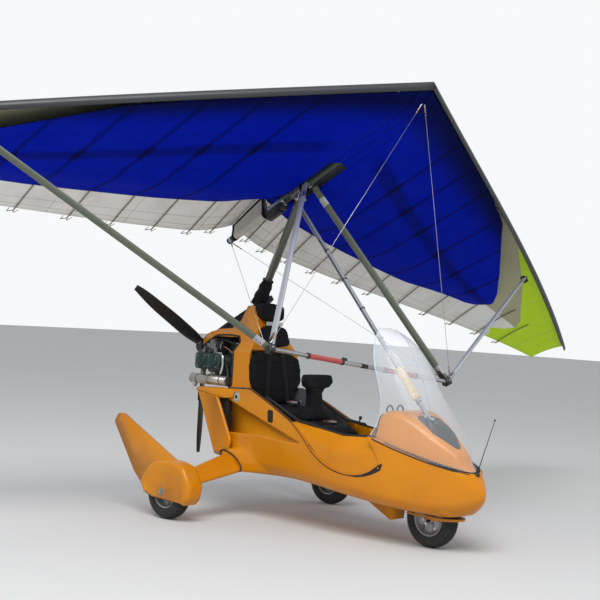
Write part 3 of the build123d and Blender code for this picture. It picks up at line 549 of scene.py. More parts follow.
sail = {
    "leadingX": (1.4849, -0.5418, 0.0147, -0.0043),
    "leadingZ": (0.0746, -0.0366, -0.0068, 0.0006),
    "trailingX": (-0.7909, -0.26, 0.0592, -0.0072),
    "trailingZ": (0.0306, -0.0138, 0.0033, -0.0018),
    "rootLift": 0.085,
    "rootLiftSpan": 0.45,
    "halfSpan": 4.38,
    "middle": 0.001,
    "camber": 0.078,
    "crestAt": 0.3,
    "noseShare": 0.066,
    "noseMost": 0.034,
    "cloth": 0.0014,
    "hangHalf": 0.084,
    # distance out, undersurface depth behind and in front
    "depth": [
        (0, 0.128, 0.086), (0.2, 0.086, 0.07), (0.45, 0.044, 0.044), (0.9, 0.013, 0.033),
        (4.4, 0.013, 0.033),
    ],
    # distance out, rear edge and front edge of the undersurface as shares of the chord
    "under": [
        (0.0, 0.177, 1.0), (0.45, 0.172, 1.0), (0.9, 0.168, 1.0), (1.5, 0.172, 1.0), (1.85, 0.175, 0.983),
        (2.05, 0.183, 0.925), (2.27, 0.208, 0.858), (2.53, 0.24, 0.767), (2.72, 0.262, 0.68),
        (2.85, 0.275, 0.617), (2.97, 0.31, 0.517), (3.05, 0.39, 0.425),
    ],
    "underTo": 3.05,
    "battens": (0.18, 0.38, 0.68, 1.02, 1.37, 1.79, 2.2, 2.6, 3.0, 3.4, 3.75),
    # share of the chord, distance out where the bright tip cloth starts
    "tipEdge": [
        (0.067, 3.55), (0.15, 3.47), (0.258, 3.63), (0.383, 3.71), (0.525, 3.63), (0.717, 3.31),
        (0.808, 3.11), (0.867, 2.95), (0.975, 2.43),
    ],
}


def along(factors, out):
    a, b, c, d = factors
    return a + b * out + c * out**2 + d * out**3


def clamped(value):
    return min(1.0, max(0.0, value))


def table(rows, out, column):
    # Straight-line reading of a table whose first column is the distance out
    for low, high in zip(rows, rows[1:]):
        if out <= high[0]:
            part = max(0.0, (out - low[0]) / (high[0] - low[0]))
            return low[column] + (high[column] - low[column]) * part
    return rows[-1][column]


def ribAt(out):
    # Tail, ways ahead and above, length of the chord and radius of the nose
    lift = sail["rootLift"] * max(0.0, 1 - out / sail["rootLiftSpan"]) ** 2
    tail = Vector((along(sail["trailingX"], out), 0, along(sail["trailingZ"], out) + lift))
    front = Vector((along(sail["leadingX"], out), 0, along(sail["leadingZ"], out)))
    noseRadius = min(sail["noseMost"], sail["noseShare"] * (front.x - tail.x))
    nose = front - Vector((noseRadius, 0, noseRadius))
    ahead = (nose - tail).normalized()
    return tail, ahead, Vector((-ahead.z, 0, ahead.x)), (nose - tail).length, noseRadius


def onRib(rib, out, side, at, height):
    # The point a distance ahead of the rib's tail and a height over its chord
    tail, ahead, above = rib[:3]
    return tail + ahead * at + above * height + Vector((0, side * out, 0))


def topHeight(length, noseRadius, at):
    crest, rise = (1 - sail["crestAt"]) * length, sail["camber"] * length
    if at < crest:
        bend = (crest**2 + rise**2) / (2 * rise)
        return rise - bend + math.sqrt(bend**2 - (crest - at) ** 2)
    fall = rise - noseRadius
    bend = ((length - crest) ** 2 + fall**2) / (2 * fall)
    return rise - bend + math.sqrt(max(bend**2 - (at - crest) ** 2, 0))


def upperPoint(out, side, share, drop):
    # share runs from 0 at the tail to 1 at the top of the nose and on to 2 round the nose
    rib = ribAt(out)
    length, noseRadius = rib[3:]
    if share > 1:
        angle = (share - 1) * math.pi
        at, height = length + math.sin(angle) * noseRadius, math.cos(angle) * noseRadius
    else:
        at, height = share * length, topHeight(length, noseRadius, share * length) - drop
    return wingAt @ onRib(rib, out, side, at, height)


def lowerPoint(out, side, share, rear):
    # The undersurface: up against the top skin at its rear edge, flat to the bottom of the nose
    rib = ribAt(out)
    length, noseRadius = rib[3:]
    gap, noseFrom, rise = 0.0105, 0.965, 0.21
    high = topHeight(length, noseRadius, share * length) - gap
    part = clamped((share - rear) / (1 - rear))
    flat = 0.002 - (table(sail["depth"], out, 1) * (1 - part) + table(sail["depth"], out, 2) * part)
    nearNose = clamped((share - noseFrom) / (1 - noseFrom))
    flat = flat * (1 - nearNose) + (0.001 - noseRadius) * nearNose
    blend = clamped((share - rear) / rise)
    blend = blend * (2 - blend)
    return wingAt @ onRib(rib, out, side, share * length, high * (1 - blend) + flat * blend)


def sailCloth(name, under):
    # u is the distance out over the half span and v the share of the chord
    look = Look(name)
    u, v = look.parts(look.node("ShaderNodeUVMap", {"uv_map": "UVMap"}))[:2]
    out = u * sail["halfSpan"]
    soil = look.noise(3.0, 6.0, 0.65).ramp(0.4, 0.75)
    spread = look.noise(9.0)
    rough = 0.65 + soil * 0.15
    if under:
        # Painted shadows of the battens (rib) and of the cross tube, as if seen through the cloth, and
        # painted shade darkening towards the leading edge
        rib = sum(out.band(at, 0.007, 0.03) for at in sail["battens"][2:])
        crossTubeShadow = (v - (0.7 - out * 0.092)).band(0.0, 0.018, 0.045) * out.ramp(0.1, 0.35)
        colour = look.mix(spread.ramp(0.3, 0.75) * 0.5, (0.0002, 0.0095, 0.38), (0.0005, 0.014, 0.47))
        colour = look.mix((rib * 0.55 + crossTubeShadow * 0.5).ramp(0.0, 1.0), colour, (0.001, 0.004, 0.07))
        colour = look.mix(v.ramp(0.8, 0.985) * 0.9, colour, (0.002, 0.004, 0.02))
        height = rib + crossTubeShadow + spread * 0.4
    else:
        # White, with an olive panel, lime tips and a black band along the leading edge
        seam = (out % 0.62).band(0.31, 0.002, 0.003)
        hem = v.band(0.03, 0.0015, 0.001) + v.band(0.075, 0.0012, 0.001)
        reach = 5
        steps = [(share, (at / reach,) * 3) for share, at in sail["tipEdge"]]
        limeEdge = look.node("ShaderNodeValToRGB", {"stops": steps}, {0: v}) * reach
        isOlive = v.ramp(0.37, 0.376) * out.ramp(1.705, 1.712)
        isBand = (v - (0.988 - out.ramp(1.7, 4.4) * 0.03)).ramp(0.0, 0.003)
        colour = look.mix(soil * 0.3, (0.88, 0.88, 0.84), (0.42, 0.41, 0.35))
        colour = look.mix(isOlive, colour, (0.44, 0.43, 0.27))
        lime = look.mix(spread * 0.6, (0.6, 0.9, 0.003), (0.46, 0.74, 0.003))
        colour = look.mix((out - limeEdge).ramp(0.0, 0.01), colour, lime)
        colour = look.mix((seam + hem) * 0.4, colour, (0.2, 0.2, 0.18))
        colour = look.mix(isBand, colour, (0.035, 0.037, 0.042))
        rough = rough - isBand * 0.3
        height = spread * 0.5 + seam * 0.3 + hem * 0.3
    shine = 0.02 if under else 0.4
    return look.surface(colour, rough, height=height, depth=0.004, strength=0.35, Specular_IOR_Level=shine)


topCloth = sailCloth("topCloth", False)
underCloth = sailCloth("underCloth", True)


def makeSail(name, flat, look, across, rows, place):
    # A sheet whose points are put in place by a function
    bm = bmesh.new()
    layer = bm.loops.layers.uv.new("UVMap")
    bmesh.ops.create_grid(bm, x_segments=across, y_segments=rows, size=1.0)
    spots = {vert: place((vert.co.x + 1) / 2, (vert.co.y + 1) / 2) for vert in bm.verts}
    for face in bm.faces:
        for loop in face.loops:
            loop[layer].uv = spots[loop.vert][1:]
    for vert, (spot, u, v) in spots.items():
        vert.co = spot
    area = sum(face.calc_area() for face in bm.faces)
    made = thicken(piece(name, outward(bm), look, "wing"), sail["cloth"])
    min(area, 0.99 * flat[0] * flat[1])
    return made


def makeSails():
    span, middle, hangHalf = sail["halfSpan"], sail["middle"], sail["hangHalf"]
    # Undersurface panels: distance out from and to, shares of the chord where the hang opening cuts them,
    # flat size and grid
    panels = {
        "Under": (hangHalf, sail["underTo"], 0.0, 1.0, (3.3, 2.1), (70, 44)),
        "Nose": (middle, hangHalf, 0.575, 1.0, (0.1, 1.05), (4, 24)),
        "Heel": (middle, hangHalf, 0.0, 0.272, (0.1, 0.25), (4, 8)),
    }
    for place, side in bothSides:
        def topPlace(across, chord):
            out, share = middle + across * (span - middle), chord * 1.92
            return upperPoint(out, side, share, 0.001), out / span, min(share, 1.0)

        top = makeSail("sailTop" + place, (span + 0.5, 2.6), topCloth, 90, 70, topPlace)
        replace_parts(top, "sail_" + place.lower())
        for name, (first, last, rearCut, frontCut, flat, grid) in panels.items():
            def underPlace(across, chord):
                out = first + across * (last - first)
                edge = table(sail["under"], out, 1)
                rear, front = max(edge, rearCut), min(table(sail["under"], out, 2), frontCut)
                share = rear + (front - rear) * chord
                return lowerPoint(out, side, share, edge), out / span, share

            makeSail("sail" + name + place, flat, underCloth, *grid, underPlace)


def makeBattens():
    # Battens under the rear of the single skin, each held by a cord hook behind the trailing edge
    behind, below, steps = 0.012, 0.0125, 8
    for place, side in bothSides:
        battens, cords = news(2)
        for out in sail["battens"]:
            rear = table(sail["under"], out, 1) if out < sail["underTo"] else 0.55
            rib = ribAt(out)
            length, noseRadius = rib[3:]
            spots = []
            for step in range(steps + 1):
                share = (rear + 0.03 + behind) * step / steps - behind
                height = topHeight(length, noseRadius, max(share, 0.0) * length) - below
                spots.append(wingAt @ onRib(rib, out, side, share * length, height))
            for pair in zip(spots, spots[1:]):
                addRod(battens, *pair, 0.005, segments=8)
            end = onRib(rib, out, side, -behind * length, -below)
            for lean in (-1, 1):
                far = wingAt @ (end + Vector((-0.045, side * lean * 0.028, 0.012)))
                near = wingAt @ (end + Vector((0.012, side * lean * 0.036, 0.006)))
                addRod(cords, wingAt @ end, far, 0.0032, segments=8)
                addRod(cords, far, near, 0.0026, segments=8)
        piece("battens" + place, battens, battenLook, body="wing")
        piece("battenCords" + place, cords, battenLook, body="wing")


pocket = {"middle": -0.585, "half": 0.2, "radius": 0.0285, "round": 0.32, "ends": (-0.778, -0.392)}


def pocketPoint(x, around, out=0.0):
    # Down one side of the pocket, under the keel and up the other; around runs from -1 to 1
    rib = ribAt(0.0)
    share = max(0.0, (x - rib[0].x) / rib[3])
    top = onRib(rib, 0, 1, share * rib[3], topHeight(rib[3], rib[4], share * rib[3]) - 0.0105).z
    radius, bend = pocket["radius"] + out, pocket["round"]
    if abs(around) < bend:
        a = around / bend * math.pi / 2
        return wingAt @ Vector((x, math.sin(a) * radius, -math.cos(a) * radius))
    part = (abs(around) - bend) / (1 - bend)
    fold = 0.0012 * math.sin(x * 46 + around * 3) * math.sin(part * math.pi)
    y = (radius * (1 - part) ** 1.5 + 0.0022 + out + fold) * (1 if around > 0 else -1)
    return wingAt @ Vector((x, y, top * part))


def makeKeelPocket():
    # Cloth that hangs the keel from the raised sail, bound with black webbing
    web, edges = news(2)
    bmesh.ops.create_grid(web, x_segments=30, y_segments=36, size=1.0)
    for vert in web.verts:
        vert.co = pocketPoint(pocket["middle"] + vert.co.x * pocket["half"], vert.co.y)
    area = sum(face.calc_area() for face in web.faces)
    cloth = thicken(piece("keelPocketWeb", outward(web), pocketCloth, "wing", 60.0), 0.0016)
    area / 0.4
    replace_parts(cloth, "keel_pocket")
    turned, off = wingAt.to_3x3(), 0.0015
    for x in pocket["ends"]:
        line = [pocketPoint(x, -1 + step / 20, off) for step in range(41)]
        strapAlong(edges, line, turned @ Vector((0.013, 0, 0)))
    for side in (-1, 1):
        line = [pocketPoint(-0.785 + 0.4 * step / 20, side * 0.93, off) for step in range(21)]
        strapAlong(edges, line, turned @ Vector((0, 0, 0.009)))
    thicken(piece("keelPocketWebbing", edges, webbing, "wing"), 0.0018)


makeSails()
makeBattens()
makeKeelPocket()
print("sails made")


def onSide(tree, x, z, side, lift=0.0):
    # The skin's point at x and z seen from one side, and its outward normal
    spot, normal = hit(tree, (x, side * 1.3, z), (0, -side, 0))
    if spot is None:
        return None, None
    if normal.y * side < 0:
        normal = -normal
    return spot + normal * lift, normal


def finer(points, most=0.05):
    # Extra points on the straight runs of an outline
    out = []
    for a, b in zip(points, points[1:]):
        a, b = Vector(a), Vector(b)
        steps = max(1, math.ceil((b - a).length / most))
        out += [a.lerp(b, step / steps) for step in range(steps)]
    return out + [Vector(points[-1])]


def sideLine(name, tree, line, side, radius, most=0.05):
    # A rubber bead that follows the skin along a side-view line
    spots = [onSide(tree, x, z, side)[0] for x, z in finer(line, most)]
    tubePath(name, [spot for spot in spots if spot is not None], radius, rubberTrim, resolution=3)


def sidePlate(name, tree, outline, side, thickness):
    # A thin near-black plate laid on the skin inside a side-view outline, painted shade for a gap or opening
    bm = bmesh.new()
    face = bm.faces.new([bm.verts.new(onSide(tree, x, z, side, 0.0012)[0]) for x, z in outline])
    extrude(bm, face, Vector((0, side * thickness, 0)))
    piece(name, outward(bm), shadeBlack)


shell = {
    "sill": [(-0.066, 0.945), (0.182, 0.955), (0.403, 0.87), (0.661, 0.755)],
    "dashSeam": [(1.376, 0.727), (1.584, 0.667), (1.828, 0.6), (2.1, 0.531)],
    "recess": [
        (0.655, 0.75), (0.72, 0.704), (0.78, 0.654), (0.838, 0.6), (0.89, 0.556), (0.945, 0.518),
        (1.03, 0.478), (1.12, 0.451), (1.22, 0.441), (1.32, 0.442), (1.4, 0.462), (1.47, 0.492),
        (1.502, 0.514),
    ],
    "recessGap": [
        (1.24, 0.444), (1.33, 0.447), (1.4, 0.465), (1.455, 0.487), (1.492, 0.51), (1.508, 0.53),
        (1.512, 0.556), (1.486, 0.544), (1.46, 0.522), (1.41, 0.492), (1.35, 0.464), (1.3, 0.452),
    ],
    "recessTop": [
        (0.66, 0.76), (0.769, 0.745), (0.917, 0.727), (1.105, 0.704), (1.318, 0.717), (1.39, 0.722),
    ],
    "recessTopOut": 0.2545,
    "sillPad": [
        (0.33, 0.2655, 0.902), (0.403, 0.2655, 0.872), (0.661, 0.2635, 0.76), (0.76, 0.2595, 0.752),
        (0.86, 0.2565, 0.738),
    ],
    "screws": [(-0.04, 0.925), (0.17, 0.935), (0.39, 0.848), (0.63, 0.742)],
    "badge": (0.026, 0.878, 0.038),
    "slot": [
        (0.398, 0.806), (0.408, 0.816), (0.446, 0.816), (0.456, 0.806), (0.46, 0.738), (0.45, 0.726),
        (0.414, 0.728), (0.404, 0.738),
    ],
    "hoodEdge": [
        (-0.545, 1.243), (-0.44, 1.284), (-0.33, 1.33), (-0.2, 1.338), (-0.095, 1.332), (-0.058, 1.29),
        (-0.056, 1.1), (-0.056, 0.955),
    ],
    # middle, half width and height, turn in degrees
    "flareRing": (0.064, 0.338, 0.404, 0.129, 0.048, -26.0),
    # front, middle height, half width and height
    "nose": (2.127, 0.401, 0.03, 0.041),
    # x, distance out and lower edge of the hood over each scoop
    "hood": [
        (0.004, 0.2855, 0.872), (-0.04, 0.292, 0.862), (-0.075, 0.301, 0.858), (-0.115, 0.312, 0.864),
        (-0.165, 0.3215, 0.872), (-0.24, 0.3235, 0.884), (-0.33, 0.3235, 0.896), (-0.388, 0.3225, 0.902),
    ],
    # the radiator's fins: how many, the first one's place across and the distance between two
    "fins": (36, -0.255, 0.01457),
    # x, distance out and top of the throat below it
    "throat": [(-0.078, 0.262, 0.925), (-0.2, 0.268, 0.925), (-0.385, 0.3, 0.905)],
}

hullSkin = skinOf("hull_tub")
dashSkin = skinOf("dash_fairing")


def dressShells():
    for name in ("hull_tub", "recess_panel_port", "recess_panel_starboard", "dash_fairing", "rear_pylon"):
        dressed(name, gelOrange, angle=38.0)
    for name in ("duct", "rear_leg", "spat"):
        for place, side in bothSides:
            dressed(name + "_" + place.lower(), gelOrange, angle=42.0)
    dressed("front_mudguard", gelOrange, "fork", 40.0)


def trimShells():
    pylonSkin = skinOf("rear_pylon")
    recessSkin = skinOf("recess_panel_port", "recess_panel_starboard", "hull_tub")
    for place, side in bothSides:
        sideLine("sillBead" + place, hullSkin, [(x, z - 0.003) for x, z in shell["sill"]], side, 0.0045)
        sideLine("dashBead" + place, hullSkin, [(x, z - 0.004) for x, z in shell["dashSeam"]], side, 0.0042)
        # Black bead along the recess's lip, standing in for its dark shadow line
        sideLine("recessBead" + place, hullSkin, shell["recess"], side, 0.0034, 0.2)
        top = [(x, side * shell["recessTopOut"], z) for x, z in finer(shell["recessTop"])]
        tubePath("recessPiping" + place, top, 0.0085, rubberTrim, resolution=3)
        sideLine("hoodBead" + place, pylonSkin, shell["hoodEdge"], side, 0.0075, 0.03)
        # Ring where the leg leaves the flare
        x, y, z, wide, tall, lean = shell["flareRing"]
        c, s = math.cos(math.radians(lean)), math.sin(math.radians(lean))
        oval = [(wide * u, tall * v) for u, v in circle(1.0, 48)]
        ring = [(x + u * c - v * s, side * y, z + u * s + v * c) for u, v in oval + oval[:1]]
        tubePath("flareRing" + place, ring, 0.0055, rubberTrim, resolution=2)
        pad = mirrored(finer(shell["sillPad"]), side)
        tubePath("sillPad" + place, pad, 0.012, rubberTrim, resolution=4)
        # Near-black plate in the recess's front gap: painted shade
        sidePlate("recessGap" + place, recessSkin, shell["recessGap"], side, 0.0016)
        # Plain round badge, and the vent slot as a thin near-black plate, painted shade for its opening
        x, z, radius = shell["badge"]
        at = turnedTo(*onSide(hullSkin, x, z, side))
        disc, rings, screws = news(3)
        addLathe(disc, [(0.0001, 0.0022), (radius * 0.93, 0.0022), (radius, 0.0012), (radius, 0.0)], at, 48)
        piece("badge" + place, merged(disc), badgeGrey)
        for inner, outer in ((radius * 0.8, radius * 0.9), (0.0001, radius * 0.42)):
            addLathe(rings, [(inner, 0.002), (inner, 0.0028), (outer, 0.0028), (outer, 0.002)], at, 48)
        piece("badgeRings" + place, merged(rings), rubberTrim)
        sidePlate("ventSlot" + place, hullSkin, shell["slot"], side, 0.0022)
        for x, z in finer(shell["screws"], 0.16):
            addScrew(screws, *onSide(hullSkin, x, z, side), 0.0042, 0.002)
        piece("sillScrews" + place, merged(screws), screwSteel)


def makeNoseCap():
    # Closes the small flat end of the nose with a dome
    x, z, wide, tall = shell["nose"]
    bm = bmesh.new()
    rows = []
    for part in (1.0, 0.92, 0.75, 0.5, 0.25):
        front = x + 0.011 * (1 - part**2) - 0.001
        rows.append([(front, wide * part * u, z + tall * part * v) for u, v in circle(1.0, 32)])
    addSkin(bm, rows, closed=True, ends=1)
    thicken(piece("noseCap", outward(bm), gelOrange), 0.003)


def makeScoops():
    # A near-black sheet in the throat between the hull's rear and each duct fairing, painted shade, and the
    # orange lip over it
    front, tall = shell["throat"][0][0], 0.47
    for place, side in bothSides:
        throat, hood = news(2)
        rows = []
        for x, out, high in shell["throat"]:
            low = tall + (front - x) * 1.15
            rows.append([(x, side * out, low + (high - low) * step / 5) for step in range(6)])
        addSkin(throat, rows)
        thicken(piece("scoopThroat" + place, outward(throat), shadeBlack), 0.004)
        rows = []
        for x, out, low in shell["hood"]:
            top = 0.933 - max(0.0, -0.2 - x) * 0.06
            section = (
                (0.262, top - 0.003), (out - 0.034, top), (out - 0.014, top - 0.005),
                (out - 0.004, top - 0.016), (out, top - 0.032), (out, low),
            )
            rows.append([(x, side * y, z) for y, z in section])
        addSkin(hood, rows)
        made = piece("scoopHood" + place, outward(hood), gelOrange, angle=60.0)
        subdivided(thicken(made, 0.006, -1.0 * side))
    # Deck behind the hull, over the radiator, and the radiator's fins
    deck, fins = news(2)
    addBox(deck, (0.1, 0.5, 0.008), (-0.118, 0, 0.846), 0.002)
    piece("radiatorDeck", deck, shadeBlack)
    count, first, pitch = shell["fins"]
    for number in range(count):
        addBox(fins, (0.006, 0.0025, 0.27), (-0.1535, first + number * pitch, 0.69))
    for z in (0.552, 0.828):
        addBox(fins, (0.01, 0.53, 0.016), (-0.155, 0, z), 0.002)
    for y in (-0.262, 0.262):
        addBox(fins, (0.01, 0.012, 0.29), (-0.155, y, 0.69), 0.002)
    piece("radiatorFins", fins, rubberTrim)


def screenAcrylic(name):
    look = Look(name)
    edge = look.node("ShaderNodeLayerWeight", None, {"Blend": 0.12}, output=1)
    haze = look.noise(40.0, 5.0, 0.6).ramp(0.5, 0.8)
    z = look.parts()[2]
    # Painted reflection: the pale colour shows more where the sheet is seen at a grazing angle, and the sheet
    # is less clear towards the top
    alpha = 0.07 + z.ramp(0.8, 1.3) * 0.155 + edge * (0.12 + z.ramp(0.8, 1.1) * 0.33) + haze * 0.02
    return look.surface((0.84, 0.88, 0.93), 0.04 + haze * 0.05, Alpha=alpha, IOR=1.49)


def makeScreen():
    dressed("windscreen", screenAcrylic("screenClear"), angle=40.0)
    # Polished rim along the free edges: the sheet's first point at each height, from behind
    tree = skinOf("windscreen")
    heights = [0.735 + 0.03 * step for step in range(24)] + [1.452]
    for place, side in bothSides:
        rim = []
        for z in heights:
            spots = (hit(tree, (1.19 + 0.004 * step, side, z), (0, -side, 0))[0] for step in range(120))
            first = next((spot for spot in spots if spot is not None and abs(spot.y) > 0.03), None)
            if first is not None and first.y * side > 0:
                rim.append(first)
        tubePath("screenRim" + place, rim, 0.0034, screenEdge, resolution=3)


dressShells()
trimShells()
makeNoseCap()
makeScoops()
makeScreen()
print("shells made")


def slab(place, cuts):
    # A closed box of quads whose points run from -1 to 1, put in place by a function
    bm = bmesh.new()
    bmesh.ops.create_cube(bm, size=2.0)
    for axis, count in enumerate(cuts):
        for cut in range(1, count):
            at, way = Vector((0, 0, 0)), Vector((0, 0, 0))
            at[axis], way[axis] = -1 + 2 * cut / count, 1
            everything = bm.verts[:] + bm.edges[:] + bm.faces[:]
            bmesh.ops.bisect_plane(bm, geom=everything, plane_co=at, plane_no=way)
    for vert in bm.verts:
        vert.co = place(*vert.co)
    return outward(bm)


def evaluated(made):
    return bpy.data.meshes.new_from_object(made.evaluated_get(bpy.context.evaluated_depsgraph_get()))


def swelled(bm, cap, voxel=0.007, pressure=4.0, frames=20):
    # Fills the shape with air as cloth, no point moving further than the cap
    mesh = bpy.data.meshes.new("shape")
    bm.to_mesh(mesh)
    bm.free()
    made = linked("shape", mesh)
    remesh = made.modifiers.new("remesh", "REMESH")
    remesh.mode, remesh.voxel_size = "VOXEL", voxel
    even = evaluated(made)
    made.modifiers.clear()
    made.data = even
    start = [vert.co.copy() for vert in even.vertices]
    cloth = made.modifiers.new("cloth", "CLOTH")
    cloth.settings.use_pressure = True
    cloth.settings.uniform_pressure_force = pressure
    cloth.settings.effector_weights.gravity = 0
    cloth.point_cache.frame_start, cloth.point_cache.frame_end = 1, frames
    for number in range(1, frames + 1):
        scene.frame_set(number)
    for vert, rest, new in zip(even.vertices, start, evaluated(made).vertices):
        move = new.co - rest
        if move.length > cap:
            move *= cap / move.length
        vert.co = rest + move
    made.modifiers.clear()
    scene.frame_set(1)
    out = bmesh.new()
    out.from_mesh(made.data)
    bpy.data.objects.remove(made)
    for again in range(2):
        bmesh.ops.smooth_vert(
            out, verts=out.verts, factor=0.5, use_axis_x=True, use_axis_y=True, use_axis_z=True)
    return out


def grooved(bm, lines, wide=0.006, deep=0.005):
    # Pulls the cover in along sewn lines; each line gives a point's distance from it
    bm.normal_update()
    pulls = [max(math.exp(-((line(vert.co) / wide) ** 2)) for line in lines) for vert in bm.verts]
    for vert, move in [(vert, vert.normal * (-deep * pull)) for vert, pull in zip(bm.verts, pulls)]:
        vert.co += move
    return bm


def squared(u, v, power=5.0):
    # Rounds the corners of a square face
    size = (abs(u) ** power + abs(v) ** power) ** (1 / power)
    most = max(abs(u), abs(v))
    return (u * most / size, v * most / size) if size > 0 else (u, v)


def smoothStep(low, high, value):
    part = clamped((value - low) / (high - low))
    return part * part * (3 - 2 * part)


def between(low, high, w):
    # w runs from -1 at the low side to 1 at the high side
    return (low + high) / 2 + w * (high - low) / 2


# Half widths of the seats, how far out the rear one's seams are and how far the air may push
seats = {
    "rearHalf": 0.258,
    "frontHalf": 0.163,
    "backFoot": 0.135,
    "backWaist": 0.069,
    "backHead": 0.152,
    "seamOut": 0.105,
    "cap": 0.01,
}


def rearBack(u, v, w):
    u, v = squared(u, v)
    z = 0.838 + (v + 1) / 2 * 0.395
    front = 0.112 + (1.238 - z) / 0.4 * 0.045 + 0.01 * (1 - u * u)
    rear = 0.06
    # The side edges lap over the front of the pylon's walls
    edge = smoothStep(0.86, 0.97, abs(u)) * smoothStep(0.945, 0.965, z)
    wall = 0.152 - (z - 0.9) * 0.115
    rear += (wall + 0.012 - rear) * edge
    front += (wall + 0.036 - front) * edge
    wide = seats["rearHalf"] + 0.016 * smoothStep(0.955, 1.0, z) * (1 - 0.8 * smoothStep(1.16, 1.24, z))
    return Vector((between(rear, front, w * (1 - 0.25 * abs(u) ** 4)), u * wide, z))


def cushionSpot(x, u, v, w, half, low, high):
    return Vector((x, u * half, between(low, high, w * (1 - 0.2 * max(abs(u), abs(v)) ** 4))))


def rearCushion(u, v, w):
    u, v = squared(u, v)
    x = 0.178 + (v + 1) / 2 * 0.315
    low, high = 0.712 + (0.5 - x) * 0.1, 0.787 + (0.5 - x) * 0.13 + 0.008 * (1 - u * u)
    return cushionSpot(x, u, v, w, seats["rearHalf"], low, high)


def frontCushion(u, v, w):
    u, v = squared(u, v)
    x = 0.65 + (v + 1) / 2 * 0.23
    high = 0.728 - (x - 0.64) * 0.06 + 0.006 * (1 - u * u) - 0.018 * smoothStep(0.83, 0.89, x)
    return cushionSpot(x, u, v, w, seats["frontHalf"], 0.655, high)


def frontBack(u, v, w):
    z = 0.748 + (v + 1) / 2 * 0.35
    foot, waist, head = seats["backFoot"], seats["backWaist"], seats["backHead"]
    half = foot - (foot - waist) * smoothStep(0.76, 0.86, z) + (head - waist) * smoothStep(0.955, 1.035, z)
    half *= 1 - 0.1 * smoothStep(1.06, 1.1, z)
    # The head of the back curls forward at its edges
    curl = 0.036 * u * u * smoothStep(0.95, 1.05, z)
    return Vector((between(0.52, 0.63 - (z - 0.742) * 0.155, w * 0.82) + curl, u * half, z))


def frontTail(u, v, w):
    # The pad's rear part, under the back
    return Vector((0.532 + (v + 1) / 2 * 0.125, u * 0.155, 0.7 + w * 0.034))


def headHigh(u, v, w):
    u, v = squared(u, v, 4.0)
    z = 1.462 + (v + 1) / 2 * 0.128
    return Vector((0.04 + (1.57 - z) * 0.28 + w * 0.05, u * (0.112 + 0.014 * v), z))


def headLow(u, v, w):
    u, v = squared(u, v, 4.0)
    z = 1.272 + (v + 1) / 2 * 0.15
    return Vector((0.124 - (z - 1.29) * 0.3 + w * 0.046, u * (0.124 - 0.012 * v), z))


def lengthwise(out):
    return [lambda spot: spot.y - out, lambda spot: spot.y + out]


# Per pad: form, cuts, look, sewn lines, how deep they are, and the CAD node that it stands for
pads = {
    "rearSeatBack": (
        rearBack, (10, 10, 3), seatCloth,
        lengthwise(seats["seamOut"]) + [lambda spot: spot.z - 1.145, lambda spot: spot.z - 0.93],
        0.005, "rear_seat"),
    "rearSeatCushion": (
        rearCushion, (10, 8, 3), seatCloth,
        lengthwise(seats["seamOut"]) + [lambda spot: spot.x - 0.4], 0.005),
    "frontSeatBack": (
        frontBack, (8, 12, 3), seatCloth,
        [lambda spot: spot.z - 0.985, lambda spot: spot.y if spot.z > 0.985 else 1], 0.005, "front_seat"),
    "frontSeatCushion": (frontCushion, (10, 8, 3), seatCloth, lengthwise(0.07), 0.005),
    "frontSeatTail": (frontTail, (8, 4, 2), seatCloth, [], 0.0),
    "headrestLow": (headLow, (8, 6, 3), coverCloth, lengthwise(0.05), 0.003, "headrest"),
    "headrestHigh": (headHigh, (8, 6, 3), coverCloth, lengthwise(0.05), 0.003),
}
caps = {"frontSeatTail": 0.005, "headrestLow": 0.008, "headrestHigh": 0.008}


def makePads():
    for name, (form, cuts, look, lines, deep, *nodes) in pads.items():
        bm = swelled(slab(form, cuts), caps.get(name, seats["cap"]))
        if lines:
            grooved(bm, lines, deep=deep)
        padded(subdivided(piece(name, bm, look, angle=60.0)), 0.6, *nodes)
    # Pale strap between the headrest's two pads, round the pylon's neck
    strap = bmesh.new()
    across = Matrix(((0, 0, 1, 0.104), (1, 0, 0, 0), (0, 1, 0, 1.442), (0, 0, 0, 1)))
    addPlate(strap, [(-0.088, -0.014), (0.088, -0.014), (0.088, 0.014), (-0.088, 0.014)], across, 0.003)
    piece("headrestStrap", strap, paleWeb)


def mastPoint(z):
    head, lean = hang["bolt"], 0.4603
    return Vector((head[0] - lean * (head[2] - z), 0, z))


def makeMastCover():
    # A gathered cloth sleeve round the foot of the mast
    sleeve, tie = news(2)
    rows, count, steps = [], 22, 40
    for row in range(count + 1):
        part = row / count
        z = 1.578 + part * 0.19
        radius = 0.06 - 0.02 * part - 0.006 * smoothStep(0.9, 1.0, part) + 0.003 * math.sin(part * 19)
        ring = []
        for a in (math.tau * step / steps for step in range(steps)):
            gathers = 0.0035 * math.sin(5 * a + 3.1 * part) * (0.4 + 0.6 * math.sin(part * 7) ** 2)
            fold = gathers + 0.002 * math.sin(11 * a - 8 * part)
            way = Vector((math.cos(a), math.sin(a), -0.42 * math.cos(a)))
            ring.append(mastPoint(z) + way * (radius + fold))
        rows.append(ring)
    addSkin(sleeve, rows, closed=True, ends=2)
    made = subdivided(piece("mastSleeve", outward(sleeve), coverCloth, angle=60.0))
    padded(made, 0.6, "mast_cover")
    for z, radius in ((1.772, 0.041), (1.64, 0.0585)):
        low, high = radius - 0.004, radius + 0.003
        outline = [(low, -0.006), (high, -0.005), (high, 0.005), (low, 0.006), (low, -0.006)]
        addLathe(tie, outline, aimed(mastPoint(z), mastPoint(z + 0.1))[0], 32)
    piece("mastSleeveTies", merged(tie), webbing)


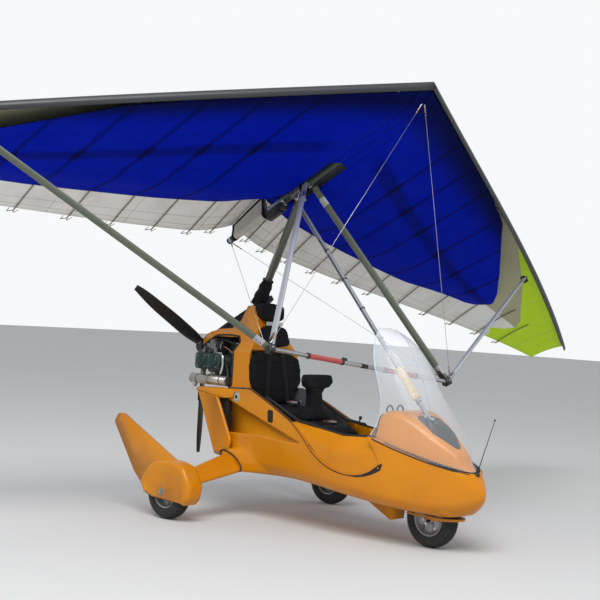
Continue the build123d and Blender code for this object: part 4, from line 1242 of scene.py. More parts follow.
# Half of each belt as a line with its half width, and the buckles' places and sizes
belts = {
    "lap": (
        [(0.2, 0.2, 0.842), (0.24, 0.15, 0.866), (0.29, 0.085, 0.862), (0.33, 0.025, 0.852)],
        (0.02, 0.006, 0)),
    "front": (
        [(0.66, 0.165, 0.742), (0.69, 0.11, 0.754), (0.725, 0.05, 0.75), (0.745, 0.012, 0.748)],
        (0.02, 0.004, 0)),
}
buckles = [
    ((0.338, 0.0, 0.862), (0.055, 0.072, 0.016)), ((0.752, 0.0, 0.756), (0.05, 0.06, 0.014)),
    ((0.225, -0.205, 0.85), (0.03, 0.022, 0.034)), ((0.225, 0.205, 0.85), (0.03, 0.022, 0.034)),
]


def makeBelts():
    straps, metal, buttons = news(3)
    for side in (-1, 1):
        shoulder = []
        for part in (step / 14 for step in range(15)):
            z = 1.262 - part * 0.4
            front = 0.112 + (1.238 - z) / 0.4 * 0.045 + 0.024 - max(0.0, z - 1.235) * 1.6
            shoulder.append((front, 0.06 + 0.055 * part, z))
        strapAlong(straps, mirrored(shoulder + [(0.215, 0.125, 0.852)], side), Vector((0, 0.0225, 0)))
        for line, across in belts.values():
            strapAlong(straps, mirrored(line, side), Vector(across))
    thicken(piece("seatBelts", straps, webbing), 0.0022, 1.0)
    for at, size in buckles:
        addBox(metal, size, at, 0.003)
    piece("beltBuckles", metal, screwSteel)
    for at in ((0.338, 0.0, 0.8715), (0.752, 0.0, 0.7645)):
        addBox(buttons, (0.03, 0.03, 0.004), at, 0.001)
    piece("beltButtons", buttons, gripFoam)


makePads()
makeMastCover()
makeBelts()
print("seats and covers made")

# Engine bay
engine = {
    "crank": (-0.345, 1.125),
    "pitch": 0.132,
    "stagger": 0.009,
    "fins": 5,
    "finPitch": 0.0125,
    "caseRibs": 7,
    "ribPitch": 0.045,
    "caseBolts": 6,
    "boltPitch": 0.05,
    "gearboxBolts": 14,
    "filterPleats": 28,
    "headIn": 0.196,
    "headOut": 0.262,
    "carburettor": (-0.405, 0.15, 1.237),
    "mufflerZ": 0.985,
    "mufflerY": 0.262,
    "mufflerFrom": -0.505,
    "mufflerTo": -0.105,
    "mufflerRadius": 0.037,
    "propX": -0.675,
    "propZ": 1.231,
}
crankZ = engine["crank"][1]
ranks = ((-0.5, "Rear"), (0.5, "Front"))


def cylinderX(side, number):
    return engine["crank"][0] + number * engine["pitch"] + side * engine["stagger"]


def outFrom(x, side, y, z):
    # z of the frame points out to one side
    return turnedTo((x, side * y, z), (0, side, 0))


def inBay(name, bm, look):
    piece(name, bm, look)


def hose(name, points, side, radius, look=hoseRubber):
    tubePath(name, mirrored(points, side), radius, look)


# Outlines of a head's round cover and of one of its fins: radius, height
dome = [
    (0.0001, 0.024), (0.016, 0.0236), (0.03, 0.0215), (0.042, 0.0175), (0.05, 0.0115), (0.0535, 0.005),
    (0.0545, 0.001), (0.061, 0.0), (0.061, -0.006), (0.056, -0.008),
]
fin = [
    (0.04, -0.0015), (0.0655, -0.0015), (0.0665, -0.0005), (0.0665, 0.0005), (0.0655, 0.0015), (0.04, 0.0015),
]


def makeCylinders():
    for place, side in bothSides:
        dressed("cylinders_" + place.lower(), castDark, angle=30.0)
        covers, fins, nuts, plugs = news(4)
        for number, rank in ranks:
            x = cylinderX(side, number)
            at = outFrom(x, side, engine["headOut"], crankZ)
            addLathe(covers, dome, at, 40)
            for u, v in circle(0.0575, 4, 0.5):
                addNut(nuts, at @ Vector((u, v, 0.0)), (0, side, 0), 0.0045, 0.005)
            for step in range(engine["fins"]):
                out = engine["headIn"] + 0.006 + engine["finPitch"] * step
                addLathe(fins, fin, outFrom(x, side, out, crankZ), 40)
            for rise in (1, -1):
                base = Vector((x + 0.018, side * 0.226, crankZ + rise * 0.06))
                way = Vector((0.1, side * 0.15, rise)).normalized()
                addRod(plugs, base, base + way * 0.022, 0.0065, segments=6)
                addRod(plugs, base + way * 0.022, base + way * 0.06, 0.0085, 0.0075, 14)
        inBay("headCovers" + place, merged(covers), coverGreen)
        inBay("headFins" + place, fins, castDark)
        inBay("headNuts" + place, merged(nuts), screwSteel)
        inBay("plugs" + place, plugs, hoseRubber)
        for number, rank in ranks:
            x = cylinderX(side, number)
            hose("plugLead" + place + rank, (
                (x + 0.026, 0.24, crankZ + 0.118), (x + 0.045, 0.235, crankZ + 0.165),
                (x + 0.07, 0.16, crankZ + 0.178), (-0.205, 0.06, crankZ + 0.172)), side, 0.0038)
            hose("plugLeadLow" + place + rank, (
                (x + 0.024, 0.24, crankZ - 0.116), (x + 0.05, 0.215, crankZ - 0.115),
                (x + 0.062, 0.15, crankZ - 0.06), (x + 0.07, 0.118, crankZ + 0.03)), side, 0.0038)


def makeInduction():
    # Carburettors with their bowls and filters, and the intake pipes down to the heads
    for place, side in bothSides:
        bodies, bowls, filters, clamps = news(4)
        x, y, z = engine["carburettor"]
        carb = Vector((x, side * y, z))

        def off(x, y=0.0, z=0.0):
            return carb + Vector((x, y, z))

        for start, end, radius in (
            (off(-0.048), off(0.042), 0.024), (carb, off(0, 0, 0.05), 0.026),
            (off(0, 0, 0.05), off(0, 0, 0.056), 0.029), (carb, off(0, 0, -0.018), 0.021),
        ):
            addRod(bodies, start, end, radius, segments=24)
        addBox(bowls, (0.05, 0.044, 0.026), off(0, 0, -0.03), 0.006, 3)
        addRod(filters, off(0.046), off(0.066), 0.03, 0.05, 32)
        addRod(filters, off(0.066), off(0.142), 0.05, segments=40)
        pleats = engine["filterPleats"]
        for number, (u, v) in enumerate(circle(0.0505, pleats)):
            spin = Matrix.Rotation(math.tau * number / pleats, 4, "X")
            addBox(filters, (0.064, 0.004, 0.003), Matrix.Translation(off(0.104, u, v)) @ spin)
        for x, radius in ((0.045, 0.0315), (-0.046, 0.0265), (0.072, 0.0518), (0.137, 0.0518)):
            addBand(clamps, radius - 0.003, radius, 0.004, turnedTo(off(x), (1, 0, 0)), 36)
        inBay("carburettor" + place, bodies, castGrey)
        inBay("floatBowl" + place, bowls, castGrey)
        inBay("airFilter" + place, filters, hoseRubber)
        inBay("carbClamps" + place, merged(clamps), screwSteel)
        for number, rank in ranks:
            x = cylinderX(side, number)
            path = [off(-0.046), off(-0.072, 0, -0.002)] + mirrored((
                ((x - 0.44) / 2, 0.18, crankZ + 0.1), (x - 0.02, 0.205, crankZ + 0.098),
                (x - 0.012, 0.222, crankZ + 0.062)), side)
            tubePath("intakePipe" + place + rank, path, 0.0145, castGrey)


def makeBlock():
    dressed("engine_block", castDark, angle=34.0)
    # Case split line and ribs, starter, dynamo, oil filter and gearbox bolts
    drums, ribs, bolts, boxes = news(4)
    addBox(ribs, (0.4, 0.006, 0.192), (-0.36, 0, crankZ), 0.001)
    for step in range(engine["caseRibs"]):
        x = -0.2 - engine["ribPitch"] * step
        for side in (-1, 1):
            addBox(ribs, (0.006, 0.012, 0.15), (x, side * 0.1145, crankZ), 0.002)
    addRod(ribs, (-0.3, -0.062, crankZ - 0.118), (-0.44, -0.062, crankZ - 0.118), 0.036, segments=28)
    addRod(ribs, (-0.26, 0.07, crankZ - 0.11), (-0.36, 0.07, crankZ - 0.11), 0.03, segments=28)
    addRod(drums, (-0.19, -0.06, crankZ - 0.06), (-0.1, -0.074, crankZ - 0.09), 0.034, segments=32)
    addRod(drums, (-0.19, 0.06, crankZ + 0.06), (-0.13, 0.07, crankZ + 0.06), 0.04, segments=32)
    inBay("caseRibs", ribs, castDark)
    inBay("oilFilter", drums, plasticBlack)
    for u, v in circle(1.0, engine["gearboxBolts"]):
        addNut(bolts, (-0.6205, 0.072 * u, crankZ + 0.028 + 0.096 * v), (-1, 0, 0), 0.005, 0.006)
    for side in (-1, 1):
        for step in range(engine["caseBolts"]):
            x = -0.22 - engine["boltPitch"] * step
            addNut(bolts, (x, side * 0.1125, crankZ + 0.082), (0, side, 0), 0.0045, 0.005)
    inBay("caseBolts", merged(bolts), screwSteel)
    for y in (-0.045, 0.045):
        addBox(boxes, (0.095, 0.06, 0.03), (-0.175, y, crankZ + 0.165), 0.004)
    inBay("ignitionBoxes", boxes, plasticBlack)


def makePlumbing():
    for place, side in bothSides:
        # Mount frame between the block and the seat frame
        tubes, mounts, clips = news(3)
        for start, end, radius in (
            ((-0.062, 0.1, 0.985), (-0.175, 0.108, 1.06), 0.011),
            ((-0.062, 0.13, 1.255), (-0.18, 0.108, 1.185), 0.011),
            ((-0.064, 0.125, 0.96), (-0.33, 0.085, 1.028), 0.01),
        ):
            addRod(tubes, *mirrored((start, end), side), radius)
        inBay("mountTubes" + place, tubes, plasticBlack)
        for x, z in ((-0.172, 1.058), (-0.178, 1.187)):
            ends = mirrored(((x - 0.014, 0.109, z), (x + 0.01, 0.109, z)), side)
            addRod(mounts, *ends, 0.021, segments=24)
        inBay("rubberMounts" + place, mounts, hoseRubber)
        # Water hoses up from the radiator and round the front of the heads
        x = cylinderX(side, 0.5)
        hose("hoseWater" + place, (
            (-0.118, 0.205, 0.838), (-0.122, 0.215, 0.93), (-0.15, 0.215, 1.02), (-0.185, 0.2, 1.1),
            (x + 0.045, 0.21, 1.148), (x + 0.02, 0.222, 1.184)), side, 0.013)
        hose("hoseOil" + place, (
            (-0.11, 0.06, 0.84), (-0.11, 0.075, 0.92), (-0.15, 0.1, 0.99), (-0.13, 0.12, 1.06),
            (-0.12, 0.09, 1.12)), side, 0.01)
        hose("hoseVent" + place, (
            (-0.08, 0.17, 1.26), (-0.16, 0.175, 1.275), (-0.235, 0.165, 1.29),
            (-0.3, 0.15, 1.297)), side, 0.008)
        hose("coolantPipe" + place, (
            (x + 0.015, 0.226, 1.19), (x + 0.068, 0.232, 1.196), (x + 0.094, 0.236, 1.155),
            (x + 0.098, 0.238, 1.085), (x + 0.08, 0.24, 1.035)), side, 0.012, chrome)
        hose("fuelLine" + place, (
            (-0.07, 0.14, 1.1), (-0.13, 0.16, 1.17), (-0.22, 0.17, 1.235), (-0.33, 0.17, 1.255),
            (-0.398, 0.165, 1.225)), side, 0.0042, fuelAmber)
        for spot, way, radius in (
            ((-0.119, 0.207, 0.862), (0, 0.05, 1), 0.0145),
            ((x + 0.03, 0.219, 1.172), (-0.4, 0.1, 1), 0.0145),
            ((-0.11, 0.062, 0.858), (0, 0.1, 1), 0.0112),
        ):
            addBand(clips, radius - 0.003, radius, 0.004, turnedTo(*mirrored((spot, way), side)), 28)
        inBay("hoseClips" + place, merged(clips), screwSteel)


def makeExhaust():
    dressed("exhaust", exhaustSteel, angle=30.0)
    z, radius = engine["mufflerZ"], engine["mufflerRadius"]
    cap = [
        (0.0001, 0.003), (0.024, 0.003), (radius - 0.002, 0.0015), (radius + 0.0015, -0.002),
        (radius + 0.0015, -0.009), (radius - 0.001, -0.01),
    ]
    for place, side in bothSides:
        y = side * engine["mufflerY"]
        ends, bands, flanges = news(3)
        for x, way in ((engine["mufflerFrom"], -1), (engine["mufflerTo"], 1)):
            addLathe(ends, cap, turnedTo((x, y, z), (way, 0, 0)), 40)
        for x in (-0.435, -0.3, -0.17):
            addBand(bands, radius - 0.001, radius + 0.0016, 0.007, turnedTo((x, y, z), (1, 0, 0)), 40)
        inBay("mufflerCaps" + place, merged(ends), exhaustSteel)
        inBay("mufflerBands" + place, merged(bands), brushedHeat)
        for number, rank in ranks:
            x = cylinderX(side, number)
            top, low = Vector((x, side * 0.224, 1.063)), Vector((x, side * 0.246, 0.985))
            way = (low - top).normalized()
            addRod(flanges, top + way * 0.002, top + way * 0.01, 0.022, segments=24)
            addRod(flanges, low - way * 0.052, low - way * 0.044, 0.0185, segments=24)
            for lean, end in ((-1, "B"), (1, "A")):
                spot = top + Vector((lean * 0.024, side * 0.004, -0.006))
                coil = []
                for k in range(25):
                    off = Vector((0.0035 * math.cos(k * 1.57), side * 0.0035 * math.sin(k * 1.57), 0))
                    coil.append(spot + way * (0.034 * k / 24) + off)
                name = "exhaustSpring" + place + rank[0] + end
                tubePath(name, coil, 0.001, screwSteel, resolution=2)
        inBay("exhaustFlanges" + place, flanges, brushedHeat)
    outlet = bmesh.new()
    addRod(outlet, (-0.455, -0.262, 0.962), (-0.475, -0.262, 0.925), 0.016, segments=24)
    inBay("tailPipe", outlet, exhaustSteel)


def lined(name, look, inside):
    # Gives a second look to the faces of a dressed shell whose middle and normal are inside
    made = bpy.data.objects[name + "Skin"]
    made.data.materials.append(look)
    for face in made.data.polygons:
        if inside(face.center, face.normal):
            face.material_index = 1


def inHood(middle, normal):
    # Every face of the pylon that looks into the engine bay is near-black: painted shade inside the bay
    return middle.x < -0.052 and normal.dot(Vector((middle.x - 0.02, 0, 1.1)) - middle) > 0


def makePropeller():
    dressed("prop_hub", plasticBlack, "propeller")
    x, z = engine["propX"], engine["propZ"]
    hub, bolts, rings = news(3)
    plate = [(0.0001, 0.012), (0.016, 0.012), (0.02, 0.009), (0.02, 0.004), (0.05, 0.004), (0.052, 0.0)]
    addLathe(hub, plate, turnedTo((x - 0.031, 0, z), (-1, 0, 0)), 40)
    piece("hubPlate", merged(hub), castGrey, "propeller")
    for u, v in circle(1.0, 6, 0.5):
        addNut(bolts, (x - 0.035, 0.037 * u, z + 0.037 * v), (-1, 0, 0), 0.006, 0.007)
        addNut(bolts, (x + 0.029, 0.05 * u, z + 0.05 * v), (1, 0, 0), 0.005, 0.006)
    piece("hubBolts", merged(bolts), screwSteel, "propeller")
    dressed("prop_blades", bladeBlack, "propeller", 45.0)
    for u, v in circle(1.0, 3, -0.75):
        for far in (0.058, 0.072):
            addBand(rings, 0.018, 0.0235, 0.004, turnedTo((x, far * u, z + far * v), (0, u, v)), 32)
    piece("bladeClamps", merged(rings), castGrey, "propeller")


makeBlock()
makePlumbing()
makeCylinders()
makeInduction()
makeExhaust()
lined("rear_pylon", shadeBlack, inHood)
makePropeller()
print("engine made")

# Wheels, fork and legs
wheels = {
    "front": ((1.72, 0.0, 0.197), "front_wheel"),
    "rear_port": ((0.0, 0.868, 0.197), "rear_wheel_port"),
    "rear_starboard": ((0.0, -0.868, 0.197), "rear_wheel_starboard"),
}
# Half of the tyre's outline, from the bead to the middle of the tread: radius, distance off the middle
tyreSide = [
    (0.115, 0.04), (0.1165, 0.0445), (0.1205, 0.047), (0.1245, 0.047), (0.1275, 0.05), (0.133, 0.0535),
    (0.14, 0.0552), (0.144, 0.0556), (0.1455, 0.056), (0.148, 0.056), (0.1495, 0.0556), (0.156, 0.0556),
    (0.164, 0.0546), (0.1655, 0.055), (0.168, 0.0546), (0.1695, 0.0538), (0.176, 0.0508), (0.182, 0.0462),
    (0.1862, 0.0415), (0.1882, 0.038), (0.185, 0.0374), (0.185, 0.0348), (0.19, 0.034), (0.1925, 0.027),
    (0.1937, 0.0215), (0.19, 0.0209), (0.19, 0.0183), (0.1947, 0.0176), (0.1962, 0.011), (0.1966, 0.0068),
    (0.1925, 0.0062), (0.1925, 0.0036), (0.1968, 0.003), (0.1969, 0.0),
]
tyreInside = [(0.1135, -0.036), (0.1135, 0.036)]
# Cross cuts on each shoulder; every third one has a moulded rib below it on the sidewall
tread = {"cuts": 60, "ribEvery": 3, "cutLean": 0.72}


def makeTyre(name, title, at, body):
    tyre, lugs = news(2)
    outline = tyreSide + [(r, -h) for r, h in reversed(tyreSide[:-1])] + tyreInside + tyreSide[:1]
    addLathe(tyre, outline, at, 96)
    made = piece("tyre" + title, merged(tyre, 2e-5), rubberBlack, body, 40.0)
    padded(made, 0.25, "tyre_" + name)
    # Small cross cuts on the shoulders, and moulded ribs on the sidewalls
    for number in range(tread["cuts"]):
        spin = at @ Matrix.Rotation(math.tau * number / tread["cuts"], 4, "Z")
        for side in (-1, 1):
            lean = Matrix.Rotation(side * tread["cutLean"], 4, "Y")
            addBox(lugs, (0.005, 0.0065, 0.0075), spin @ shift(0.1845, 0, side * 0.0425) @ lean, 0.0008, 1)
            if number % tread["ribEvery"] == 0:
                addBox(lugs, (0.019, 0.0018, 0.0012), spin @ shift(0.1545, 0, side * 0.056), 0.0004, 1)
    piece("treadLugs" + title, lugs, rubberBlack, body)


def makeRim(name, title, at, body):
    dressed("rim_" + name, rimPaint, body)
    bolts, edges, seals, valve = news(4)
    for side in (-1, 1):
        for u, v in circle(0.046, 5, 0.5):
            addNut(bolts, at @ Vector((u, v, side * 0.0115)), (0, side, 0), 0.0055, 0.006)
        way = turnedTo(at.translation, (0, side, 0))
        addLathe(seals, [(0.0125, 0.0452), (0.0135, 0.0472), (0.0235, 0.0472), (0.026, 0.0455)], way, 32)
        addLathe(edges, [(0.11, 0.0405), (0.1165, 0.0425), (0.118, 0.041), (0.118, 0.038)], way, 64)
    piece("rimBolts" + title, merged(bolts), screwSteel, body)
    piece("rimSeals" + title, merged(seals), hoseRubber, body)
    piece("rimEdges" + title, merged(edges), rimPaint, body)
    spin = at @ turn(130, "Z")
    addRod(valve, spin @ Vector((0.098, 0, 0.02)), spin @ Vector((0.084, 0, 0.045)), 0.0035, segments=12)
    addRod(valve, spin @ Vector((0.0845, 0, 0.044)), spin @ Vector((0.0805, 0, 0.051)), 0.0046, segments=12)
    piece("valve" + title, valve, hoseRubber, body)


def makeFork():
    dressed("front_fork", plasticBlack, "fork")
    nuts, pegs = news(2)
    pegLong = 0.077
    outline = [(0.0115, 0.0)]
    for h in (0.003 + step * 0.0068 for step in range(11)):
        outline += [(0.0165, h), (0.0165, h + 0.004), (0.0148, h + 0.0046), (0.0148, h + 0.0062)]
    outline += [(0.0165, pegLong - 0.002), (0.015, pegLong + 0.001), (0.0001, pegLong + 0.001)]
    for side in (-1, 1):
        addNut(nuts, (1.72, side * 0.088, 0.197), (0, side, 0), 0.013, 0.011)
        addNut(nuts, (1.74, side * 0.1125, 0.223), (0, side, 0), 0.005, 0.005)
        addLathe(pegs, outline, outFrom(1.74, side, 0.105, 0.52), 28)
    piece("forkNuts", merged(nuts), screwSteel, "fork")
    piece("footPegs", merged(pegs), hoseRubber, "fork")


def makeLegFittings():
    bolts, plates = news(2)
    for side in (-1, 1):
        # Axle end, with its nut on a plate, outside each spat
        at = outFrom(0.0, side, 0.9445, 0.197)
        addLathe(plates, [(0.0001, 0.0025), (0.026, 0.0025), (0.028, 0.001), (0.028, -0.002)], at, 40)
        addNut(bolts, at @ Vector((0, 0, 0.002)), (0, side, 0), 0.011, 0.01)
        for u, v in circle(0.06, 3, 0.75):
            addScrew(bolts, at @ Vector((u, v, 0.0)), (0, side, 0))
    piece("axlePlates", merged(plates), castGrey)
    piece("axleNuts", merged(bolts), screwSteel)
    # Rubber edge round the mouth of each spat, where the tyre comes out
    for place, side in bothSides:
        skin = skinOf("spat_" + place.lower())
        for number, y in enumerate((0.8, 0.936)):
            stations = (-0.205 + 0.41 * step / 24 for step in range(25))
            spots = [hit(skin, (x, side * y, -0.3), (0, 0, 1))[0] for x in stations]
            line = [spot for spot in spots if spot is not None]
            tubePath("spatEdge" + place + str(number), line, 0.0032, rubberTrim, resolution=3)


for make in (makeTyre, makeRim):
    for name, (middle, body) in wheels.items():
        make(name, name.title().replace("_", ""), turnedTo(middle, (0, 1, 0)), body)
makeFork()
makeLegFittings()
print("wheels made")

# Control frame, struts, keel and rigging, in the wing's own frame
bar = {
    "corner": (0.325, 0.839, -1.587),
    "downtubeTop": (0.134, 0.046, -0.03),
    "strutTop": (-0.089, 2.712, -0.165),
    "keelFrom": -0.86,
    "keelTo": 1.38,
    "keelRadius": 0.025,
    "gripFrom": 0.215,
    "gripTo": 0.505,
    "gripRadius": 0.019,
    "tubeLong": 0.06,
    "tubeWide": 0.027,
}
cornerX, cornerY, cornerZ = bar["corner"]


def inWing(name, bm, look, angle=35.0):
    # A piece drawn in the wing's own frame
    bm.transform(wingAt)
    piece(name, bm, look, "wing", angle)


def ovalAt(start, end):
    # A frame along a streamlined tube: z along it, x along its long axis
    line = (end - start).normalized()
    ahead = (Vector((1, 0, 0)) - line * line.x).normalized()
    return Matrix.Translation(start) @ Matrix((ahead, line.cross(ahead), line)).transposed().to_4x4()


def addOval(bm, at, low, high, grow):
    # A band of the tubes' section between two heights along one of them
    long, wide = bar["tubeLong"] / 2, bar["tubeWide"] / 2
    addSkin(bm, [
        [at @ Vector(((long + more) * u, (wide + more) * v, height)) for u, v in circle(1.0, 36)]
        for height, more in ((low, 0.0), (low, grow), (high, grow), (high, 0.0))
    ], closed=True)


def makeTubes():
    cheek = [
        (-0.02, -0.03), (0.02, -0.03), (0.024, 0.03), (0.014, 0.095), (-0.014, 0.095), (-0.024, 0.03),
    ]
    for place, side in bothSides:
        low, top, far = mirrored((bar["corner"], bar["downtubeTop"], bar["strutTop"]), side)
        # Each side has one tube in the silver look and one in its dark copy, painted shade and reflected
        # grass
        looks = (brightTube, shadedTube) if side < 0 else (shadedTube, brightTube)
        for tube, look in zip(("downtube_", "wing_strut_"), looks):
            dressed(tube + place.lower(), look, "wing", 40.0)
        sleeves, plates, bolts = news(3)
        for start, end in ((low, top), (low, far)):
            at, length = ovalAt(start, end), (end - start).length
            for lowEdge, highEdge, grow in (
                (0.06, 0.064, 0.0016), (0.128, 0.132, 0.0016), (0.064, 0.128, 0.001),
                (length - 0.17, length - 0.166, 0.0016), (length - 0.166, length - 0.1, 0.001),
            ):
                addOval(sleeves, at, lowEdge, highEdge, grow)
            for height in (0.08, 0.112, length - 0.15, length - 0.118):
                for face in (-1, 1):
                    spot = at @ Vector((0, face * (bar["tubeWide"] / 2 + 0.001), height))
                    addNut(bolts, spot, at.to_3x3() @ Vector((0, face, 0)), 0.005, 0.005)
        # Cheek plates that join both tubes to the bar's corner, and the corner's block, cap and nuts
        at, out = ovalAt(low, top), cornerY + 0.004
        for face in (-1, 1):
            flat = Matrix(((1, 0, 0, 0), (0, 0, face, face * 0.0145), (0, 1, 0, 0), (0, 0, 0, 1)))
            addPlate(plates, cheek, at @ flat, 0.003)
        addBox(plates, (0.062, 0.052, 0.05), (cornerX, side * out, cornerZ), 0.008, 3)
        ends = mirrored(((cornerX, cornerY + 0.026, cornerZ), (cornerX, cornerY + 0.036, cornerZ)), side)
        addRod(plates, *ends, 0.0145, segments=28)
        for way in (1, -1):
            addNut(bolts, (cornerX + way * 0.031, side * out, cornerZ), (way, 0, 0), 0.0065, 0.007)
        # Strut bracket under the wing
        for lean in (-1, 1):
            addBox(plates, (0.05, 0.004, 0.056), far + Vector((0, lean * 0.0165, -0.006)), 0.001, 1)
        ends = [far + Vector((0, y, -0.01)) for y in (-0.026, 0.026)]
        addRod(bolts, *ends, 0.0045, segments=12)
        inWing("tubeSleeves" + place, sleeves, fittingAlloy)
        inWing("cornerPlates" + place, plates, nylon, angle=30.0)
        inWing("tubeBolts" + place, merged(bolts), screwSteel)


def makeBar():
    dressed("base_bar", fittingAlloy, "wing")
    x, z, first, last = cornerX, cornerZ, bar["gripFrom"], bar["gripTo"]
    inner, length = 0.0146, last - first
    # Foam grip: ribbed, slightly waisted, its ends rounded over
    outline = [(0.015, 0.0), (0.0175, 0.0005)]
    for step in range(40):
        part = step / 39
        radius = bar["gripRadius"] - 0.0006 - 0.0012 * math.sin(math.pi * part) + 0.0005 * (step % 2)
        outline.append((radius, 0.002 + part * (length - 0.004)))
    outline += [(0.0175, length - 0.0005), (0.015, length)]
    collar = [
        (inner, -0.01), (0.0195, -0.01), (0.0205, -0.007), (0.0205, 0.007), (0.0195, 0.01), (inner, 0.01),
    ]
    collars, switch = news(2)
    for place, side in reversed(bothSides):
        grip = bmesh.new()
        addLathe(grip, outline, wingAt @ outFrom(x, side, first, z), 36)
        made = piece("barGrip" + place, merged(grip), gripFoam, "wing", 60.0)
        padded(made, 0.5, "bar_grips")
        for y in (first - 0.01, last + 0.01):
            addLathe(collars, collar, wingAt @ turnedTo((x, side * y, z), (0, 1, 0)), 36)
    addBand(collars, inner, 0.016, 0.03, wingAt @ turnedTo((x, 0, z), (0, 1, 0)), 32)
    piece("barCollars", merged(collars), nylon, body="wing")
    # Hand switch
    addBox(switch, (0.026, 0.036, 0.022), wingAt @ shift(x + 0.002, -0.18, z + 0.02), 0.003)
    addRod(switch, *(wingAt @ Vector((x, -0.186, z + high)) for high in (0.03, 0.038)), 0.005, segments=14)
    piece("barSwitch", switch, nylon, body="wing")


def makeKeel():
    # The keel takes the near-black cast look as painted shade, for the shadow it lies in under the sail
    dressed("keel", castDark, "wing")
    radius = bar["keelRadius"]
    plug = [
        (0.0001, 0.006), (radius - 0.006, 0.006), (radius, 0.002), (radius + 0.001, 0.0),
        (radius + 0.001, -0.012), (radius, -0.013),
    ]
    endBand = [(radius, -0.045), (radius + 0.002, -0.045), (radius + 0.002, -0.02), (radius, -0.02)]
    plugs, bands, bolts, rails, trimmer = news(5)
    for x, way in ((bar["keelFrom"], -1), (bar["keelTo"], 1)):
        at = turnedTo((x, 0, 0), (way, 0, 0))
        addLathe(plugs, plug, at, 36)
        addLathe(bands, endBand, at, 36)
        addNut(bolts, (x - way * 0.032, 0, -radius - 0.002), (0, 0, -1), 0.007, 0.008)
    for x in (-0.16, 0.14):
        addBand(bands, radius, radius + 0.005, 0.014, turnedTo((x, 0, 0), (1, 0, 0)), 36)
        addBox(bands, (0.028, 0.014, 0.02), (x, 0, -radius - 0.008), 0.002)
        addRod(bolts, (x, -0.014, -radius - 0.011), (x, 0.014, -radius - 0.011), 0.0035, segments=12)
    # Alloy rails beside the hang point and the trimmer that shifts it, behind the mast
    for side in (-1, 1):
        addBox(rails, (0.4, 0.005, 0.026), (-0.13, side * 0.0285, 0.01), 0.001)
        for x in (-0.31, -0.22, 0.04):
            addNut(bolts, (x, side * 0.031, 0.01), (0, side, 0), 0.0055, 0.006)
    addBox(trimmer, (0.15, 0.046, 0.048), (-0.285, 0, -0.052), 0.006)
    addRod(trimmer, (-0.19, -0.026, -0.048), (-0.19, 0.026, -0.048), 0.02, segments=28)
    for side in (-1, 1):
        addBox(trimmer, (0.11, 0.004, 0.036), (-0.215, side * 0.028, -0.034), 0.001)
    inWing("keelRails", rails, fittingAlloy)
    inWing("trimmer", trimmer, nylon)
    inWing("keelPlugs", merged(plugs), nylon)
    inWing("keelBands", bands, fittingAlloy)
    inWing("keelBolts", merged(bolts), screwSteel)


def makeHangBlock():
    dressed("hang_block", fittingAlloy, "hang_block", 30.0)
    bolts, loop = news(2)
    for side in (-1, 1):
        addNut(bolts, (0, side * 0.0465, 0), (0, side, 0), 0.011, 0.01)
        for x in (-0.034, 0.034):
            addNut(bolts, (x, side * 0.039, 0.052), (0, side, 0), 0.006, 0.006)
    addRod(bolts, (0, -0.0565, 0), (0, -0.064, 0), 0.0025, segments=10)
    bolts.transform(blockAt)
    piece("hangBolts", merged(bolts), screwSteel, "hang_block")
    # Back-up strap, looped over the keel between the cheeks
    line = []
    for a in (math.tau * step / 32 for step in range(33)):
        sag = 0.012 if math.sin(a) < -0.5 else 0
        line.append(Vector((0.0, 0.0335 * math.cos(a), 0.068 + 0.0385 * math.sin(a) - sag)))
    strapAlong(loop, line, Vector((0.016, 0, 0)))
    loop.transform(blockAt @ shift(0.068, 0, 0))
    thicken(piece("backupStrap", merged(loop), webbing, body="hang_block"), 0.0025)


def makeWires():
    dressed("flying_wires", wireSteel, "wing", 50.0)
    swages, eyes = news(2)
    for side in (-1, 1):
        for endX, ahead in ((bar["keelTo"] - 0.024, 0.022), (bar["keelFrom"] + 0.024, -0.022)):
            top = Vector((endX, side * 0.004, -bar["keelRadius"] + 0.001))
            low = Vector((cornerX + ahead, side * (cornerY + 0.02), cornerZ + 0.02))
            way = (top - low).normalized()
            for spot, inward in ((low + way * 0.04, way), (top - way * 0.05, -way)):
                addRod(swages, spot, spot + inward * 0.03, 0.0048, segments=14)
                addRod(swages, spot + inward * 0.04, spot + inward * 0.052, 0.0048, segments=14)
                addRod(eyes, spot - inward * 0.03, spot, 0.006, 0.0035, 14)
    inWing("wireSwages", swages, copperDull)
    inWing("wireEyes", eyes, screwSteel)


def makeMast():
    dressed("mast", mastPaint)
    dressed("front_strut", strutAlloy)
    bolts, plates, ties = news(3)
    for z in (1.9, 2.02, 2.33):
        for side in (-1, 1):
            addNut(bolts, mastPoint(z) + Vector((0, side * 0.029, 0)), (0, side, 0), 0.0065, 0.007)
    # Hinge straps where the mast folds, and the fork that takes the front strut
    start, end = mastPoint(1.86), mastPoint(2.06)
    at, length = aimed(start, end)
    turned = at.to_3x3().to_4x4()
    for side in (-1, 1):
        middle = (start + end) / 2 + Vector((0, side * 0.0305, 0))
        addBox(plates, (0.034, 0.004, length), Matrix.Translation(middle) @ turned, 0.001, 1)
    foot = Vector(dash["strutFoot"])
    way = (Vector((0.3, 0, 2.345)) - foot).normalized()
    base = foot + way * 0.01
    for side in (-1, 1):
        addBox(plates, (0.04, 0.004, 0.075), turnedTo(base + Vector((0, side * 0.0195, 0)), way), 0.001, 1)
        addNut(bolts, base + Vector((0, side * 0.0215, 0)), (0, side, 0), 0.0065, 0.007)
    piece("mastBolts", merged(bolts), screwSteel)
    piece("mastStraps", plates, fittingAlloy)
    # Lead and clips down the strut
    lead = [foot + way * (0.05 + 0.27 * step) + Vector((0, -0.0185, 0)) for step in range(7)]
    tubePath("strutLead", lead, 0.0035, hoseRubber)
    for step in range(6):
        addBand(ties, 0.0168, 0.0215, 0.0025, turnedTo(foot + way * (0.16 + 0.28 * step), way), 28)
    piece("strutTies", merged(ties), nylon)


